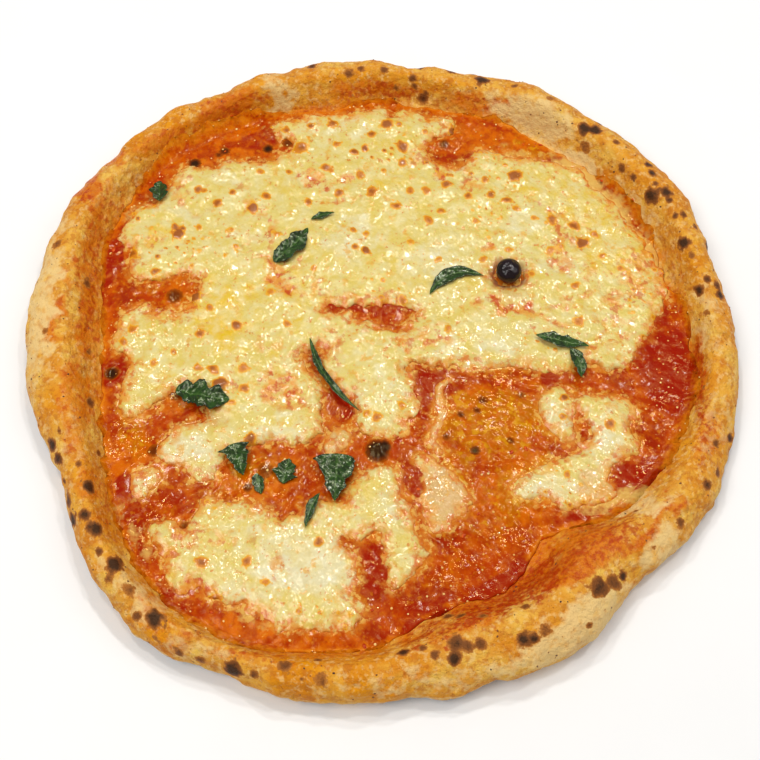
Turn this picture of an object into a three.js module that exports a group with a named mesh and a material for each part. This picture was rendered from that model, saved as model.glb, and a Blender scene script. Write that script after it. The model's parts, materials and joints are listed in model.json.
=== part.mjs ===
// A margherita pizza baked in a hot oven: a hand-stretched dough base with a puffed, uneven rim, a thin
// layer of tomato sauce, mozzarella that melted into pools and ran together, wilted basil leaves and one
// small black olive. Millimetres, +Z up. The base rests on Z = 0 and the outline's box is centred on Z.

import * as THREE from "three";

// ---- Driving dimensions -------------------------------------------------------------------------------

const DISC_RADIUS = 163; // mean radius to the outside of the rim
const FOOT_RADIUS = 141; // mean radius where the rim starts to rise from the base
const RIM_HEIGHT = 18; // mean height of the rim's crest
const BASE_THICKNESS = 3.6; // baked dough under the toppings
const SAUCE_THICKNESS = 1.2;
const CHEESE_THICKNESS = 2.6;
const LEAF_THICKNESS = 0.8;
const SEAT_GAP = 0.3; // between any two pieces that lie on each other

const CREST_SHARE = 0.52; // where the crest lies between the foot and the outside
const WIDEST_SHARE = 0.42; // height of the rim's widest point, as a share of the crest's
const UNDERCUT_SHARE = 0.42; // how far the rim overhangs what it rests on, as a share of its width

const COLUMNS = 88; // steps round the disc
const BASE_ROWS = [0.3, 0.62, 0.88]; // rings across the base, as shares of the foot radius
const INNER_ROWS = 7; // steps up the rim's inner slope
const OUTER_ROWS = 6; // steps from the crest to the widest point
const UNDER_ROWS = 4; // steps from the widest point to the ground

const SAUCE_BED = BASE_THICKNESS + SEAT_GAP;
const SAUCE_TOP = SAUCE_BED + SAUCE_THICKNESS;
const CHEESE_BED = SAUCE_TOP + SEAT_GAP;
const CHEESE_TOP = CHEESE_BED + CHEESE_THICKNESS;
const LEAF_BED = CHEESE_TOP + SEAT_GAP;

const SAUCE_MARGIN = 1; // the sauce stops this far inside the rim's foot
const CHEESE_MARGIN = 1.5; // and so does the cheese

// ---- The rim's unevenness: swellings and dips at an angle, each over a spread, both in degrees ----------

const OUTLINE_SWELLS = [
  { at: 38, spread: 16, by: 7.5 },
  { at: 66, spread: 14, by: 4.5 },
  { at: 100, spread: 10, by: 5.5 },
  { at: 122, spread: 10, by: 4.0 },
  { at: 144, spread: 16, by: 7.5 },
  { at: 168, spread: 10, by: 1.0 },
  { at: 203, spread: 14, by: -9.5 },
  { at: 234, spread: 10, by: 3.5 },
  { at: 252, spread: 10, by: 1.5 },
  { at: 290, spread: 14, by: -1.0 },
  { at: 314, spread: 9, by: -6.5 },
];

const FOOT_SWELLS = [
  { at: 52, spread: 18, by: 2.5 },
  { at: 132, spread: 18, by: 7.5 },
  { at: 154, spread: 9, by: 2 },
  { at: 178, spread: 16, by: -15.5 },
  { at: 200, spread: 14, by: -10.5 },
  { at: 240, spread: 16, by: 7 },
  { at: 284, spread: 12, by: -18 },
  { at: 308, spread: 12, by: -26 },
  { at: 330, spread: 14, by: -9.5 },
];

const CREST_SWELLS = [
  { at: 22, spread: 7, by: 1.5 },
  { at: 58, spread: 6, by: 2 },
  { at: 70, spread: 5, by: -1.5 },
  { at: 90, spread: 9, by: 1 },
  { at: 112, spread: 4, by: 2.5 },
  { at: 137, spread: 8, by: -2.5 },
  { at: 180, spread: 22, by: 2.5 },
  { at: 236, spread: 10, by: -1.5 },
  { at: 262, spread: 12, by: 1 },
  { at: 300, spread: 18, by: 5 },
  { at: 340, spread: 9, by: -1 },
];

const RIPPLE = 0.5; // height of the small waves that run all round the rim

function turnBetween(a, b) {
  return ((((a - b) % 360) + 540) % 360) - 180;
}

function swollen(mean, swells, angle) {
  return swells.reduce(
    (sum, s) => sum + s.by * Math.exp(-((turnBetween(angle, s.at) / s.spread) ** 2)),
    mean,
  );
}

function ripple(angle, waves, phase) {
  return RIPPLE * Math.sin((angle * waves * Math.PI) / 180 + phase);
}

const outerRadius = (angle) =>
  swollen(DISC_RADIUS, OUTLINE_SWELLS, angle) + ripple(angle, 17, 0.4) + ripple(angle, 11, 2.1);
const footRadius = (angle) => swollen(FOOT_RADIUS, FOOT_SWELLS, angle) + ripple(angle, 13, 1.2);
const crestHeight = (angle) => swollen(RIM_HEIGHT, CREST_SWELLS, angle) + ripple(angle, 19, 0.9);

// ---- Closed solids from rings -----------------------------------------------------------------------------

// rings: equal-length lists of points, from the ring round the top pole to the ring round the bottom pole.
// Without poles the first and last ring are closed by caps, given as triangles of indices into a ring.
function solidFromRings(rings, { topPole, bottomPole, caps } = {}) {
  const size = rings[0].length;
  const positions = rings.flat().flatMap((p) => [p.x, p.y, p.z]);
  const triangles = [];
  for (let r = 0; r + 1 < rings.length; r++)
    for (let i = 0; i < size; i++) {
      const next = (i + 1) % size;
      const a = r * size + i;
      const b = r * size + next;
      const c = a + size;
      const d = b + size;
      triangles.push(a, c, d, a, d, b);
    }
  const last = (rings.length - 1) * size;
  if (caps) {
    for (const [i, j, k] of caps) {
      triangles.push(i, j, k);
      triangles.push(last + k, last + j, last + i);
    }
  } else {
    const top = positions.length / 3;
    positions.push(topPole.x, topPole.y, topPole.z, bottomPole.x, bottomPole.y, bottomPole.z);
    for (let i = 0; i < size; i++) {
      const next = (i + 1) % size;
      triangles.push(top, i, next);
      triangles.push(top + 1, last + next, last + i);
    }
  }
  const geometry = new THREE.BufferGeometry();
  geometry.setAttribute("position", new THREE.Float32BufferAttribute(positions, 3));
  geometry.setIndex(triangles);
  geometry.computeVertexNormals();
  return geometry;
}

function onAxis(z) {
  return new THREE.Vector3(0, 0, z);
}

// ---- Dough ------------------------------------------------------------------------------------------------

// The half section of the dough at one angle, from beside the top pole to the edge of the flat underside.
function doughSection(angle) {
  const outer = outerRadius(angle);
  const foot = footRadius(angle);
  const width = outer - foot;
  const crest = foot + CREST_SHARE * width;
  const top = crestHeight(angle);
  const widest = WIDEST_SHARE * top;
  const ground = outer - UNDERCUT_SHARE * width;
  const section = [...BASE_ROWS, 1].map((share) => [share * foot, BASE_THICKNESS]);
  for (let i = 1; i <= INNER_ROWS; i++) {
    const share = i / INNER_ROWS;
    const rise = Math.sin((share * Math.PI) / 2) ** 2;
    section.push([foot + share * (crest - foot), BASE_THICKNESS + rise * (top - BASE_THICKNESS)]);
  }
  for (let i = 1; i <= OUTER_ROWS; i++) {
    const turn = (i / OUTER_ROWS) * (Math.PI / 2);
    section.push([
      crest + (outer - crest) * Math.sin(turn),
      widest + (top - widest) * Math.cos(turn),
    ]);
  }
  for (let i = 1; i <= UNDER_ROWS; i++) {
    const turn = (i / UNDER_ROWS) * (Math.PI / 2);
    section.push([ground + (outer - ground) * Math.cos(turn), widest * (1 - Math.sin(turn))]);
  }
  return section;
}

const angles = Array.from({ length: COLUMNS }, (_, i) => (i * 360) / COLUMNS);

function at(angle, radius, z) {
  const turn = (angle * Math.PI) / 180;
  return new THREE.Vector3(radius * Math.cos(turn), radius * Math.sin(turn), z);
}

function doughGeometry() {
  const sections = angles.map(doughSection);
  const rings = sections[0].map((_, row) =>
    sections.map((section, i) => at(angles[i], ...section[row])),
  );
  return solidFromRings(rings, {
    topPole: onAxis(BASE_THICKNESS),
    bottomPole: onAxis(0),
  });
}

// ---- Tomato sauce -----------------------------------------------------------------------------------------

function sauceGeometry() {
  const edge = angles.map((a) => footRadius(a) - SAUCE_MARGIN);
  const ring = (share, z) => angles.map((a, i) => at(a, share * edge[i], z));
  const middle = (SAUCE_BED + SAUCE_TOP) / 2;
  return solidFromRings(
    [ring(0.5, SAUCE_TOP), ring(0.975, SAUCE_TOP), ring(1, middle), ring(0.985, SAUCE_BED)],
    { topPole: onAxis(SAUCE_TOP), bottomPole: onAxis(SAUCE_BED) },
  );
}

// ---- Mozzarella -------------------------------------------------------------------------------------------

// Each piece of cheese melted into round pools, [x, y, radius], which ran together where they met. Gaps are
// round places that stayed bare, and slits run along [x, y, half width] from one point to the next. Strands
// are drawn-out threads of cheese in the same terms. A bevel is how far the rounded edge reaches in.
const CHEESE = {
  mozzarella_main: {
    bevel: 1.8,
    pools: [
      // back
      [-49, 127, 8], [-39, 129, 12], [-22, 127, 15], [-5, 128, 15], [11, 132, 11], [20, 126, 9], [33, 130, 6],
      [-48, 94, 15], [-70, 95, 14], [-90, 90, 14], [-97, 95, 7], [-30, 98, 25], [0, 100, 28], [28, 84, 20],
      [56, 98, 15], [76, 92, 16], [91, 88, 15], [103, 80, 13], [111, 70, 13],
      // left
      [-95, 76, 17], [-113, 67, 13], [-119, 63, 8], [-105, 52, 15], [-111, 43, 9], [-85, 60, 22], [-60, 70, 25],
      [-62, 38, 22], [-108, 9, 14], [-118, 5, 8], [-124, 0, 4], [-100, -6, 15], [-107, -22, 11],
      [-112, -30, 7], [-85, -2, 20], [-80, 20, 12],
      // middle
      [-30, 60, 25], [0, 62, 26], [32, 60, 28], [62, 66, 24], [90, 62, 24], [112, 52, 18], [121, 45, 14],
      [122, 28, 14], [115, 14, 14], [106, 0, 13], [92, 30, 24], [84, 8, 18], [60, 26, 26], [-35, 20, 22],
      [-8, 38, 20], [20, 30, 22], [30, 6, 18], [50, 5, 18], [66, 5, 18], [80, -2, 12],
      // lobe that a large leaf holds up
      [-8, -8, 17], [2, -22, 15], [1, -35, 11.5], [8, -30, 9],
      // front left
      [-60, -5, 24], [-60, -24, 20], [-42, -24, 16], [-36, -38, 12], [-50, -38, 12], [-66, -42, 12],
      [-80, -50, 12], [-89, -51, 9], [-77, -60, 7],
    ],
    gaps: [
      [-97, 27, 8], [-103, 23, 6], [61, 38.5, 6.8], [32, 116, 5.5], [36, 108, 3], [6, 139, 3.5],
      [-47, 114, 4], [-56, 112, 5],
    ],
    slits: [
      [[-24, 20.5, 1.4], [-10, 20, 2], [4, 19.2, 2.4], [13, 17, 2.8], [13.5, 8, 2.4]],
      [[-23, -22, 2], [-18, -29, 3.2], [-13, -36, 3.4]],
    ],
  },
  mozzarella_front: {
    bevel: 1.8,
    pools: [
      [-72, -92, 12], [-56, -92, 15], [-62, -107, 14], [-45, -106, 18], [-42, -120, 12], [-27, -122, 12],
      [-20, -108, 12], [-30, -92, 13], [-22, -84, 8], [-85, -101, 8], [-92, -92, 7], [-83, -112, 6],
      [-13, -125, 6], [-74, -79, 6], [-6, -71, 8], [3, -67, 8], [4, -80, 9], [9, -92, 9], [8, -104, 8],
      [5, -112, 5], [16, -99, 5], [-10, -86, 7],
    ],
    gaps: [[-4, -101, 5.5], [-2, -109, 5.5], [0, -118, 5]],
  },
  mozzarella_flap: {
    bevel: 1.6,
    pools: [[19, -58, 4.5], [25, -65, 7], [31, -75, 8.5], [26, -83, 7.5], [20, -74, 4]],
  },
  mozzarella_oval: {
    bevel: 1.8,
    pools: [[80, -28, 7.5], [80, -36, 7.5], [82, -44, 5]],
  },
  mozzarella_right: {
    bevel: 1.8,
    pools: [
      [98, -33, 7.5], [94.5, -29, 5], [109, -33, 6], [104, -44, 9], [111, -51, 5], [96, -55, 9], [86, -62, 9],
      [76, -66, 8], [66, -70, 7], [59, -72, 4], [92, -69, 9], [81, -74, 7], [98, -73, 5],
    ],
  },
  mozzarella_left_bit: {
    bevel: 1.5,
    pools: [[-103, -66, 6], [-105, -71, 4], [-98, -64, 4]],
  },
  mozzarella_middle_bit: {
    bevel: 1.4,
    pools: [[-20, -50, 5], [-17, -45, 4]],
  },
  mozzarella_strand: {
    bevel: 0.9,
    strands: [
      [
        [31, -17, 1.9], [27, -21, 2.2], [27, -28, 2.3], [28.5, -34, 2.4], [24.5, -42, 2.4], [23, -48, 2.2],
        [26, -53, 1.9],
      ],
    ],
  },
};

const RUN_TOGETHER = 5; // how far apart two pools still pull towards each other
const GAP_SOFTNESS = 1.5;
const CONTOUR_CELL = 1.5; // size of the cells that the outline is first traced in
const OUTLINE_TOLERANCE = 0.4;
const SMALLEST_HOLE = 4; // area under which a hole in the cheese closes up

function softMin(a, b, softness) {
  const h = Math.max(softness - Math.abs(a - b), 0) / softness;
  return Math.min(a, b) - (h * h * softness) / 4;
}

// Signed distance from a line that runs through [x, y, half width] points.
function lineDistance(line, x, y) {
  const stretches = line.slice(1).map(([bx, by, br], i) => {
    const [ax, ay, ar] = line[i];
    const along = ((x - ax) * (bx - ax) + (y - ay) * (by - ay)) / ((bx - ax) ** 2 + (by - ay) ** 2);
    const share = Math.min(Math.max(along, 0), 1);
    const radius = ar + share * (br - ar);
    return Math.hypot(x - ax - share * (bx - ax), y - ay - share * (by - ay)) - radius;
  });
  return Math.min(...stretches);
}

// Signed distance to a piece of cheese: negative inside it.
function cheeseDistance({ pools = [], gaps = [], strands = [], slits = [] }, x, y) {
  const round = ([cx, cy, r]) => Math.hypot(x - cx, y - cy) - r;
  const run = (line) => lineDistance(line, x, y);
  const filled = [...pools.map(round), ...strands.map(run)].reduce((a, b) => softMin(a, b, RUN_TOGETHER));
  const bare = Math.min(...gaps.map(round), ...slits.map(run));
  const cut = -softMin(-filled, bare, GAP_SOFTNESS);
  const angle = (Math.atan2(y, x) * 180) / Math.PI;
  return Math.max(cut, Math.hypot(x, y) - footRadius(angle) + CHEESE_MARGIN);
}

function gradient(piece, x, y) {
  const step = 0.05;
  const dx = cheeseDistance(piece, x + step, y) - cheeseDistance(piece, x - step, y);
  const dy = cheeseDistance(piece, x, y + step) - cheeseDistance(piece, x, y - step);
  return new THREE.Vector2(dx, dy).normalize();
}

// Closed outlines of a piece, traced cell by cell with the cheese on the left.
function traceOutlines(piece) {
  const drops = [...(piece.pools ?? []), ...(piece.strands ?? []).flat()];
  const reach = drops.map(([x, y, r]) => [x - r, x + r, y - r, y + r]);
  const margin = 2 * CONTOUR_CELL + RUN_TOGETHER;
  const left = Math.min(...reach.map((b) => b[0])) - margin;
  const right = Math.max(...reach.map((b) => b[1])) + margin;
  const low = Math.min(...reach.map((b) => b[2])) - margin;
  const high = Math.max(...reach.map((b) => b[3])) + margin;
  const nx = Math.ceil((right - left) / CONTOUR_CELL);
  const ny = Math.ceil((high - low) / CONTOUR_CELL);
  const corner = (i, j) => [left + i * CONTOUR_CELL, low + j * CONTOUR_CELL];
  const values = Array.from({ length: (nx + 1) * (ny + 1) }, (_, n) =>
    cheeseDistance(piece, ...corner(n % (nx + 1), Math.floor(n / (nx + 1)))),
  );
  const value = (i, j) => values[j * (nx + 1) + i];
  const crossing = (i, j, k, l) => {
    const share = value(i, j) / (value(i, j) - value(k, l));
    const [a, b] = [corner(i, j), corner(k, l)];
    return new THREE.Vector2(a[0] + share * (b[0] - a[0]), a[1] + share * (b[1] - a[1]));
  };
  const follows = new Map(); // edge where the outline enters a cell -> [edge where it leaves, point there]
  for (let j = 0; j < ny; j++)
    for (let i = 0; i < nx; i++) {
      const corners = [[i, j], [i + 1, j], [i + 1, j + 1], [i, j + 1]];
      const edges = [`h${i},${j}`, `v${i + 1},${j}`, `h${i},${j + 1}`, `v${i},${j}`];
      const inside = corners.map(([a, b]) => value(a, b) < 0);
      const leaves = []; // edges where a walk round the cell goes from cheese to bare
      const enters = []; // and from bare to cheese
      for (let e = 0; e < 4; e++) {
        const f = (e + 1) % 4;
        if (inside[e] && !inside[f]) leaves.push(e);
        if (!inside[e] && inside[f]) enters.push(e);
      }
      for (const e of leaves) {
        const out = enters.reduce((best, o) => ((e - o + 4) % 4 < (e - best + 4) % 4 ? o : best));
        const f = (out + 1) % 4;
        follows.set(edges[e], [edges[out], crossing(...corners[out], ...corners[f])]);
      }
    }
  const outlines = [];
  while (follows.size) {
    const outline = [];
    let edge = follows.keys().next().value;
    while (follows.has(edge)) {
      const [next, point] = follows.get(edge);
      follows.delete(edge);
      outline.push(point);
      edge = next;
    }
    outlines.push(outline);
  }
  return outlines.map((outline) => thinned(outline));
}

// Drops the points of an open stretch that lie within the tolerance of a straight line.
function simplified(points) {
  const [first, last] = [points[0], points[points.length - 1]];
  const along = last.clone().sub(first);
  let furthest = 0;
  let index = 0;
  for (let i = 1; i + 1 < points.length; i++) {
    const off = points[i].clone().sub(first);
    const distance = along.length()
      ? Math.abs(along.cross(off)) / along.length()
      : off.length();
    if (distance > furthest) [furthest, index] = [distance, i];
  }
  if (furthest <= OUTLINE_TOLERANCE) return [first, last];
  return [...simplified(points.slice(0, index + 1)).slice(0, -1), ...simplified(points.slice(index))];
}

function thinned(outline) {
  const half = Math.floor(outline.length / 2);
  const there = simplified(outline.slice(0, half + 1));
  const back = simplified([...outline.slice(half), outline[0]]);
  return [...there.slice(0, -1), ...back.slice(0, -1)];
}

const WAIST_SHARE = 0.4; // height of a cheese edge's furthest point, as a share of its thickness

function cheeseGeometry(piece) {
  const traced = traceOutlines(piece);
  const area = (loop) => THREE.ShapeUtils.area(loop);
  const outline = traced.reduce((a, b) => (area(a) > area(b) ? a : b));
  const holes = traced.filter((loop) => area(loop) < -SMALLEST_HOLE);
  const outlines = [outline, ...holes];
  const points = outlines.flat();
  const inwards = points.map((p) => gradient(piece, p.x, p.y).negate());
  const raised = (inset, z) =>
    points.map((p, i) => {
      const moved = p.clone().addScaledVector(inwards[i], inset * piece.bevel);
      return new THREE.Vector3(moved.x, moved.y, z);
    });
  const rings = [
    raised(1, CHEESE_TOP),
    raised(0.3, CHEESE_TOP - 0.25 * CHEESE_THICKNESS),
    raised(0, CHEESE_BED + WAIST_SHARE * CHEESE_THICKNESS),
    raised(0.4, CHEESE_BED),
  ];
  const triangles = THREE.ShapeUtils.triangulateShape(outline, holes);
  const positions = rings.flat().flatMap((p) => [p.x, p.y, p.z]);
  const faces = [];
  const size = points.length;
  const last = 3 * size;
  for (const [i, j, k] of triangles) faces.push(i, j, k, last + k, last + j, last + i);
  let start = 0;
  for (const loop of outlines) {
    for (let r = 0; r < 3; r++)
      for (let i = 0; i < loop.length; i++) {
        const next = (i + 1) % loop.length;
        const a = r * size + start + i;
        const b = r * size + start + next;
        faces.push(a, a + size, b + size, a, b + size, b);
      }
    start += loop.length;
  }
  const geometry = new THREE.BufferGeometry();
  geometry.setAttribute("position", new THREE.Float32BufferAttribute(positions, 3));
  geometry.setIndex(faces);
  geometry.computeVertexNormals();
  return geometry;
}

// ---- Basil ------------------------------------------------------------------------------------------------

// x, y: the leaf's middle. along: the direction of its midrib, in degrees. cup: how far its sides curl up.
// bend: how far its two ends turn aside, in degrees. bed: what it lies on.
const LEAVES = {
  basil_long_edge: { x: -22.5, y: -16.5, along: -58, length: 44, width: 5, cup: 0.8, bend: 22, bed: LEAF_BED },
  basil_by_olive: { x: 35, y: 36.5, along: 22, length: 30, width: 8, cup: 0.6, bend: -60, bed: LEAF_BED },
  basil_back: { x: -42.5, y: 54, along: 56, length: 23, width: 11, cup: 1.2, bend: 10, bed: LEAF_BED },
  basil_back_tip: { x: -28, y: 71.5, along: 20, length: 12, width: 3.5, cup: 0.4, bend: -12, bed: LEAF_BED },
  basil_left: { x: -80, y: -27, along: -12, length: 25, width: 14, cup: 2, bend: 15, bed: LEAF_BED },
  basil_front_left: { x: -64, y: -57.5, along: -70, length: 16, width: 12, cup: 1.5, bend: 0, bed: LEAF_BED },
  basil_front_oval: { x: -41.5, y: -62, along: 80, length: 12, width: 9, cup: 1.2, bend: 0, bed: CHEESE_BED },
  basil_front_sliver: { x: -53, y: -68, along: -75, length: 10, width: 5, cup: 0.8, bend: 0, bed: CHEESE_BED },
  basil_front_right: { x: -20, y: -66, along: -92, length: 22, width: 17, cup: 1.4, bend: 0, bed: LEAF_BED },
  basil_front_arc: { x: -30, y: -81, along: -110, length: 17, width: 4, cup: 0.6, bend: 30, bed: LEAF_BED },
  basil_right: { x: 84, y: 1.5, along: -14, length: 25, width: 6, cup: 0.8, bend: 8, bed: LEAF_BED },
  basil_right_hook: { x: 91, y: -9.5, along: -75, length: 16, width: 6.5, cup: 1, bend: -50, bed: LEAF_BED },
  basil_back_left: { x: -109, y: 86, along: 95, length: 12, width: 8, cup: 1.2, bend: 0, bed: LEAF_BED },
};

const LEAF_STEPS = 6;
const LEAF_SIDE_STEPS = 2;
const LEAF_BLUNTNESS = 0.12; // width left at the very tips, as a share of the full width

function leafWidth(share) {
  return Math.max(LEAF_BLUNTNESS, Math.sin(Math.PI * share ** 0.85) ** 0.8);
}

function leafGeometry({ length, width, cup, bend }) {
  const turn = (bend * Math.PI) / 180;
  const lines = [];
  for (let i = 0; i <= LEAF_STEPS; i++) {
    const share = i / LEAF_STEPS;
    const facing = turn * (share - 0.5);
    const radius = Math.abs(turn) > 0.01 ? length / turn : 0;
    const middle = radius
      ? new THREE.Vector2(radius * Math.sin(facing), radius * (1 - Math.cos(facing)))
      : new THREE.Vector2(length * (share - 0.5), 0);
    const side = new THREE.Vector2(-Math.sin(facing), Math.cos(facing));
    const half = (leafWidth(share) * width) / 2;
    const line = [];
    for (let j = -LEAF_SIDE_STEPS; j <= LEAF_SIDE_STEPS; j++) {
      const across = j / LEAF_SIDE_STEPS;
      const p = middle.clone().addScaledVector(side, across * half);
      line.push(new THREE.Vector3(p.x, p.y, cup * across * across * leafWidth(share)));
    }
    lines.push(line);
  }
  // One closed ring of points for each step: the upper side there and the underside back.
  const rings = lines.map((line) => [
    ...line.map((p) => p.clone().setZ(p.z + LEAF_THICKNESS)),
    ...line.toReversed(),
  ]);
  const size = rings[0].length;
  const caps = [];
  for (let i = 0; i + 1 < size / 2; i++) {
    const j = size - 1 - i;
    caps.push([i, i + 1, j - 1], [i, j - 1, j]);
  }
  return solidFromRings(rings, { caps });
}

// ---- Olive ------------------------------------------------------------------------------------------------

const OLIVE = { x: 61, y: 38.5, radius: 6.2, height: 9.5, flat: 3.4 };

function oliveGeometry({ radius, height, flat }) {
  const steps = 8;
  const start = -Math.acos(flat / radius);
  const squash = height / (1 + Math.sin(-start));
  const profile = [new THREE.Vector2(0, 0)];
  for (let i = 0; i <= steps; i++) {
    const turn = start + (i / steps) * (Math.PI / 2 - start);
    profile.push(
      new THREE.Vector2(
        i === steps ? 0 : radius * Math.cos(turn),
        squash * (Math.sin(turn) - Math.sin(start)),
      ),
    );
  }
  return new THREE.LatheGeometry(profile, 14).rotateX(Math.PI / 2);
}

// ---- Finishes ---------------------------------------------------------------------------------------------

function finish(color, roughness) {
  return new THREE.MeshStandardMaterial({ color, roughness, metalness: 0 });
}

const BAKED_DOUGH = finish("#dba458", 0.75);
const TOMATO = finish("#c9500f", 0.3);
const MELTED_CHEESE = finish("#ecdc9a", 0.4);
const WILTED_BASIL = finish("#23401c", 0.35);
const BLACK_OLIVE = finish("#170a0c", 0.25);

// ---- The pizza --------------------------------------------------------------------------------------------

function piece(name, geometry, material) {
  const mesh = new THREE.Mesh(geometry, material);
  mesh.name = name;
  return mesh;
}

const toppings = new THREE.Group();
toppings.add(piece("tomato_sauce", sauceGeometry(), TOMATO));
for (const [name, cheese] of Object.entries(CHEESE))
  toppings.add(piece(name, cheeseGeometry(cheese), MELTED_CHEESE));
for (const [name, leaf] of Object.entries(LEAVES)) {
  const mesh = piece(name, leafGeometry(leaf), WILTED_BASIL);
  mesh.position.set(leaf.x, leaf.y, leaf.bed);
  mesh.rotation.z = (leaf.along * Math.PI) / 180;
  toppings.add(mesh);
}
const olive = piece("olive", oliveGeometry(OLIVE), BLACK_OLIVE);
olive.position.set(OLIVE.x, OLIVE.y, CHEESE_BED);
toppings.add(olive);

const pizza = new THREE.Group();
pizza.add(piece("dough", doughGeometry(), BAKED_DOUGH), toppings);
const outline = new THREE.Box3().setFromObject(pizza.children[0]).getCenter(new THREE.Vector3());
pizza.position.set(-outline.x, -outline.y, 0);

export default pizza;
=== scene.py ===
"""A baked margherita pizza: puffed dough, tomato sauce, melted mozzarella, basil and a small black olive."""

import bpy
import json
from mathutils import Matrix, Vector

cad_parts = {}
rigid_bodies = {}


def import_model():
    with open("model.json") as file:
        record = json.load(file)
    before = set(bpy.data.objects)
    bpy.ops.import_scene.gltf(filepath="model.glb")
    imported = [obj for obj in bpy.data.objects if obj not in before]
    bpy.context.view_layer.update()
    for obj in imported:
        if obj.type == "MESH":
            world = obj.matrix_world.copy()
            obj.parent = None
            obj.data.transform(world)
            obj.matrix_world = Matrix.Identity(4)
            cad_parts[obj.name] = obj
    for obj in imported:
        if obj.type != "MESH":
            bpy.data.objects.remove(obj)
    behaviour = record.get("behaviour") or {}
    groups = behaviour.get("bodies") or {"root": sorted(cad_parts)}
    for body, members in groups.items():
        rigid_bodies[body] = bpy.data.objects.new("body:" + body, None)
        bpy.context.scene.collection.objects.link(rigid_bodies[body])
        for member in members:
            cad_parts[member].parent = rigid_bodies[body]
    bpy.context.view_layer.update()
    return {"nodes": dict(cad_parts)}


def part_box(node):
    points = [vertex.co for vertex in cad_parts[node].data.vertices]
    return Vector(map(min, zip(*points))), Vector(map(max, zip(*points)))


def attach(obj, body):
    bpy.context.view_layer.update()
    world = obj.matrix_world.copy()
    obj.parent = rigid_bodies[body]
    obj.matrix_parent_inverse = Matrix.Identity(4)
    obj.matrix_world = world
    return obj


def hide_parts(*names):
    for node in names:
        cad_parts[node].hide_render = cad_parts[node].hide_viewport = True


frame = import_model()

import json
import math

import bpy
import numpy as np
from bpy.props import FloatProperty, FloatVectorProperty, IntProperty, PointerProperty
from mathutils import Vector
from mathutils.bvhtree import BVHTree

bl_info = {
    "name": "Margherita Pizza",
    "version": (1, 0, 0),
    "blender": (4, 5, 0),
    "location": "View3D > Sidebar > Pizza",
    "description": "Builds a baked margherita pizza around its packed model",
    "category": "Add Mesh",
}

MM = 0.001
BODY = "root"
CHEESE_NODES = sorted(name for name in frame["nodes"] if name.startswith("mozzarella_"))
BASIL_NODES = sorted(name for name in frame["nodes"] if name.startswith("basil_"))

# The camera looks along +Y and down. The marks further down are noted in millimetres from MARK_ORIGIN, where
# they line up from the camera on a level MARK_LEVEL above the floor. A mark lands on a surface when one of
# the surface's points lines up with it to within MARK_MISS.
CAMERA_ELEVATION = math.radians(63)
CAMERA_LENS = 55.4
EYE = np.array([-0.35, -261.4, 480.3])
MARK_LEVEL = 6.0
MARK_ORIGIN = np.array([-0.35, -2.2])
MARK_MISS = 2.5

# Brings the usual spread of the noise to about -1 to 1.
NOISE_GAIN = 1.6

# How fine the uneven edges of spots and patches are, in millimetres, and where a patch starts and ends to
# fade, next to its own half width.
SPOT_GRAIN = 2.4
PATCH_GRAIN = 7
PATCH_FADE = (1.25, 0.55)

# Heights closer than this, in millimetres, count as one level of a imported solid.
LEVEL_GAP = 0.02


def paint(red, green, blue):
    """A colour given as display values from 0 to 255, as the linear values that Blender uses."""
    shares = (value / 255 for value in (red, green, blue))
    return tuple(c / 12.92 if c <= 0.04 else ((c + 0.055) / 1.055) ** 2.4 for c in shares)


# ---- Random patterns --------------------------------------------------------------------------------------


def lattice(cells, seed):
    """A number from 0 to 1 for each cell of a 3-D lattice: large factors mix the cell with the seed."""
    x, y, z = (cells[..., i].astype(np.int64) for i in range(3))
    h = (x * 374761393 + y * 668265263 + z * 2147483647 + seed * 1274126177) & 0xFFFFFFFF
    h = ((h ^ (h >> 13)) * 1274126177) & 0xFFFFFFFF
    return ((h ^ (h >> 16)) & 0xFFFFFF) / 0xFFFFFF


def noise(points, size, seed, octaves=2):
    """Smooth noise from about -1 to 1 whose lumps measure about size."""
    total = np.zeros(len(points))
    weight = 0.0
    for octave in range(octaves):
        p = points * (2**octave / size)
        cell = np.floor(p)
        f = p - cell
        f = f * f * (3 - 2 * f)
        value = 0.0
        for corner in range(8):
            step = np.array([corner & 1, corner >> 1 & 1, corner >> 2 & 1])
            share = np.prod(np.where(step, f, 1 - f), axis=1)
            value = value + share * lattice(cell + step, seed + octave)
        total += (2 * value - 1) / 2**octave
        weight += 1 / 2**octave
    return total / weight * NOISE_GAIN


def pattern(points, seed, kind):
    """Noise of a named kind: its size in millimetres, its offset from a piece's seed, and its octaves."""
    size, offset, octaves = kind
    return noise(points, size, seed + offset, octaves)


def flat_points(x, y, z=0.0):
    """Points that all lie at one height."""
    return np.stack([x, y, np.full_like(x, z)], axis=1)


def smooth_step(low, high, value):
    """0 on the side of low, 1 on the side of high, and an even rise between them."""
    t = np.clip((value - low) / (high - low), 0, 1)
    return t * t * (3 - 2 * t)


# ---- Marks: where browned, scorched and coloured places lie ----------------------------------------------


def sighted(points):
    """Where points line up from the camera on the level of the marks."""
    share = (EYE[2] - MARK_LEVEL) / (EYE[2] - points[:, 2])
    return EYE[:2] + (points[:, :2] - EYE[:2]) * share[:, None] - MARK_ORIGIN


def landed(marks, points):
    """Each mark (x, y, ...) that falls on a surface, with the point of the surface that it falls on."""
    flat = sighted(points)
    for mark in marks:
        near = np.hypot(flat[:, 0] - mark[0], flat[:, 1] - mark[1])
        if near.min() < MARK_MISS:
            yield mark, points[np.argmin(near)]


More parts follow.
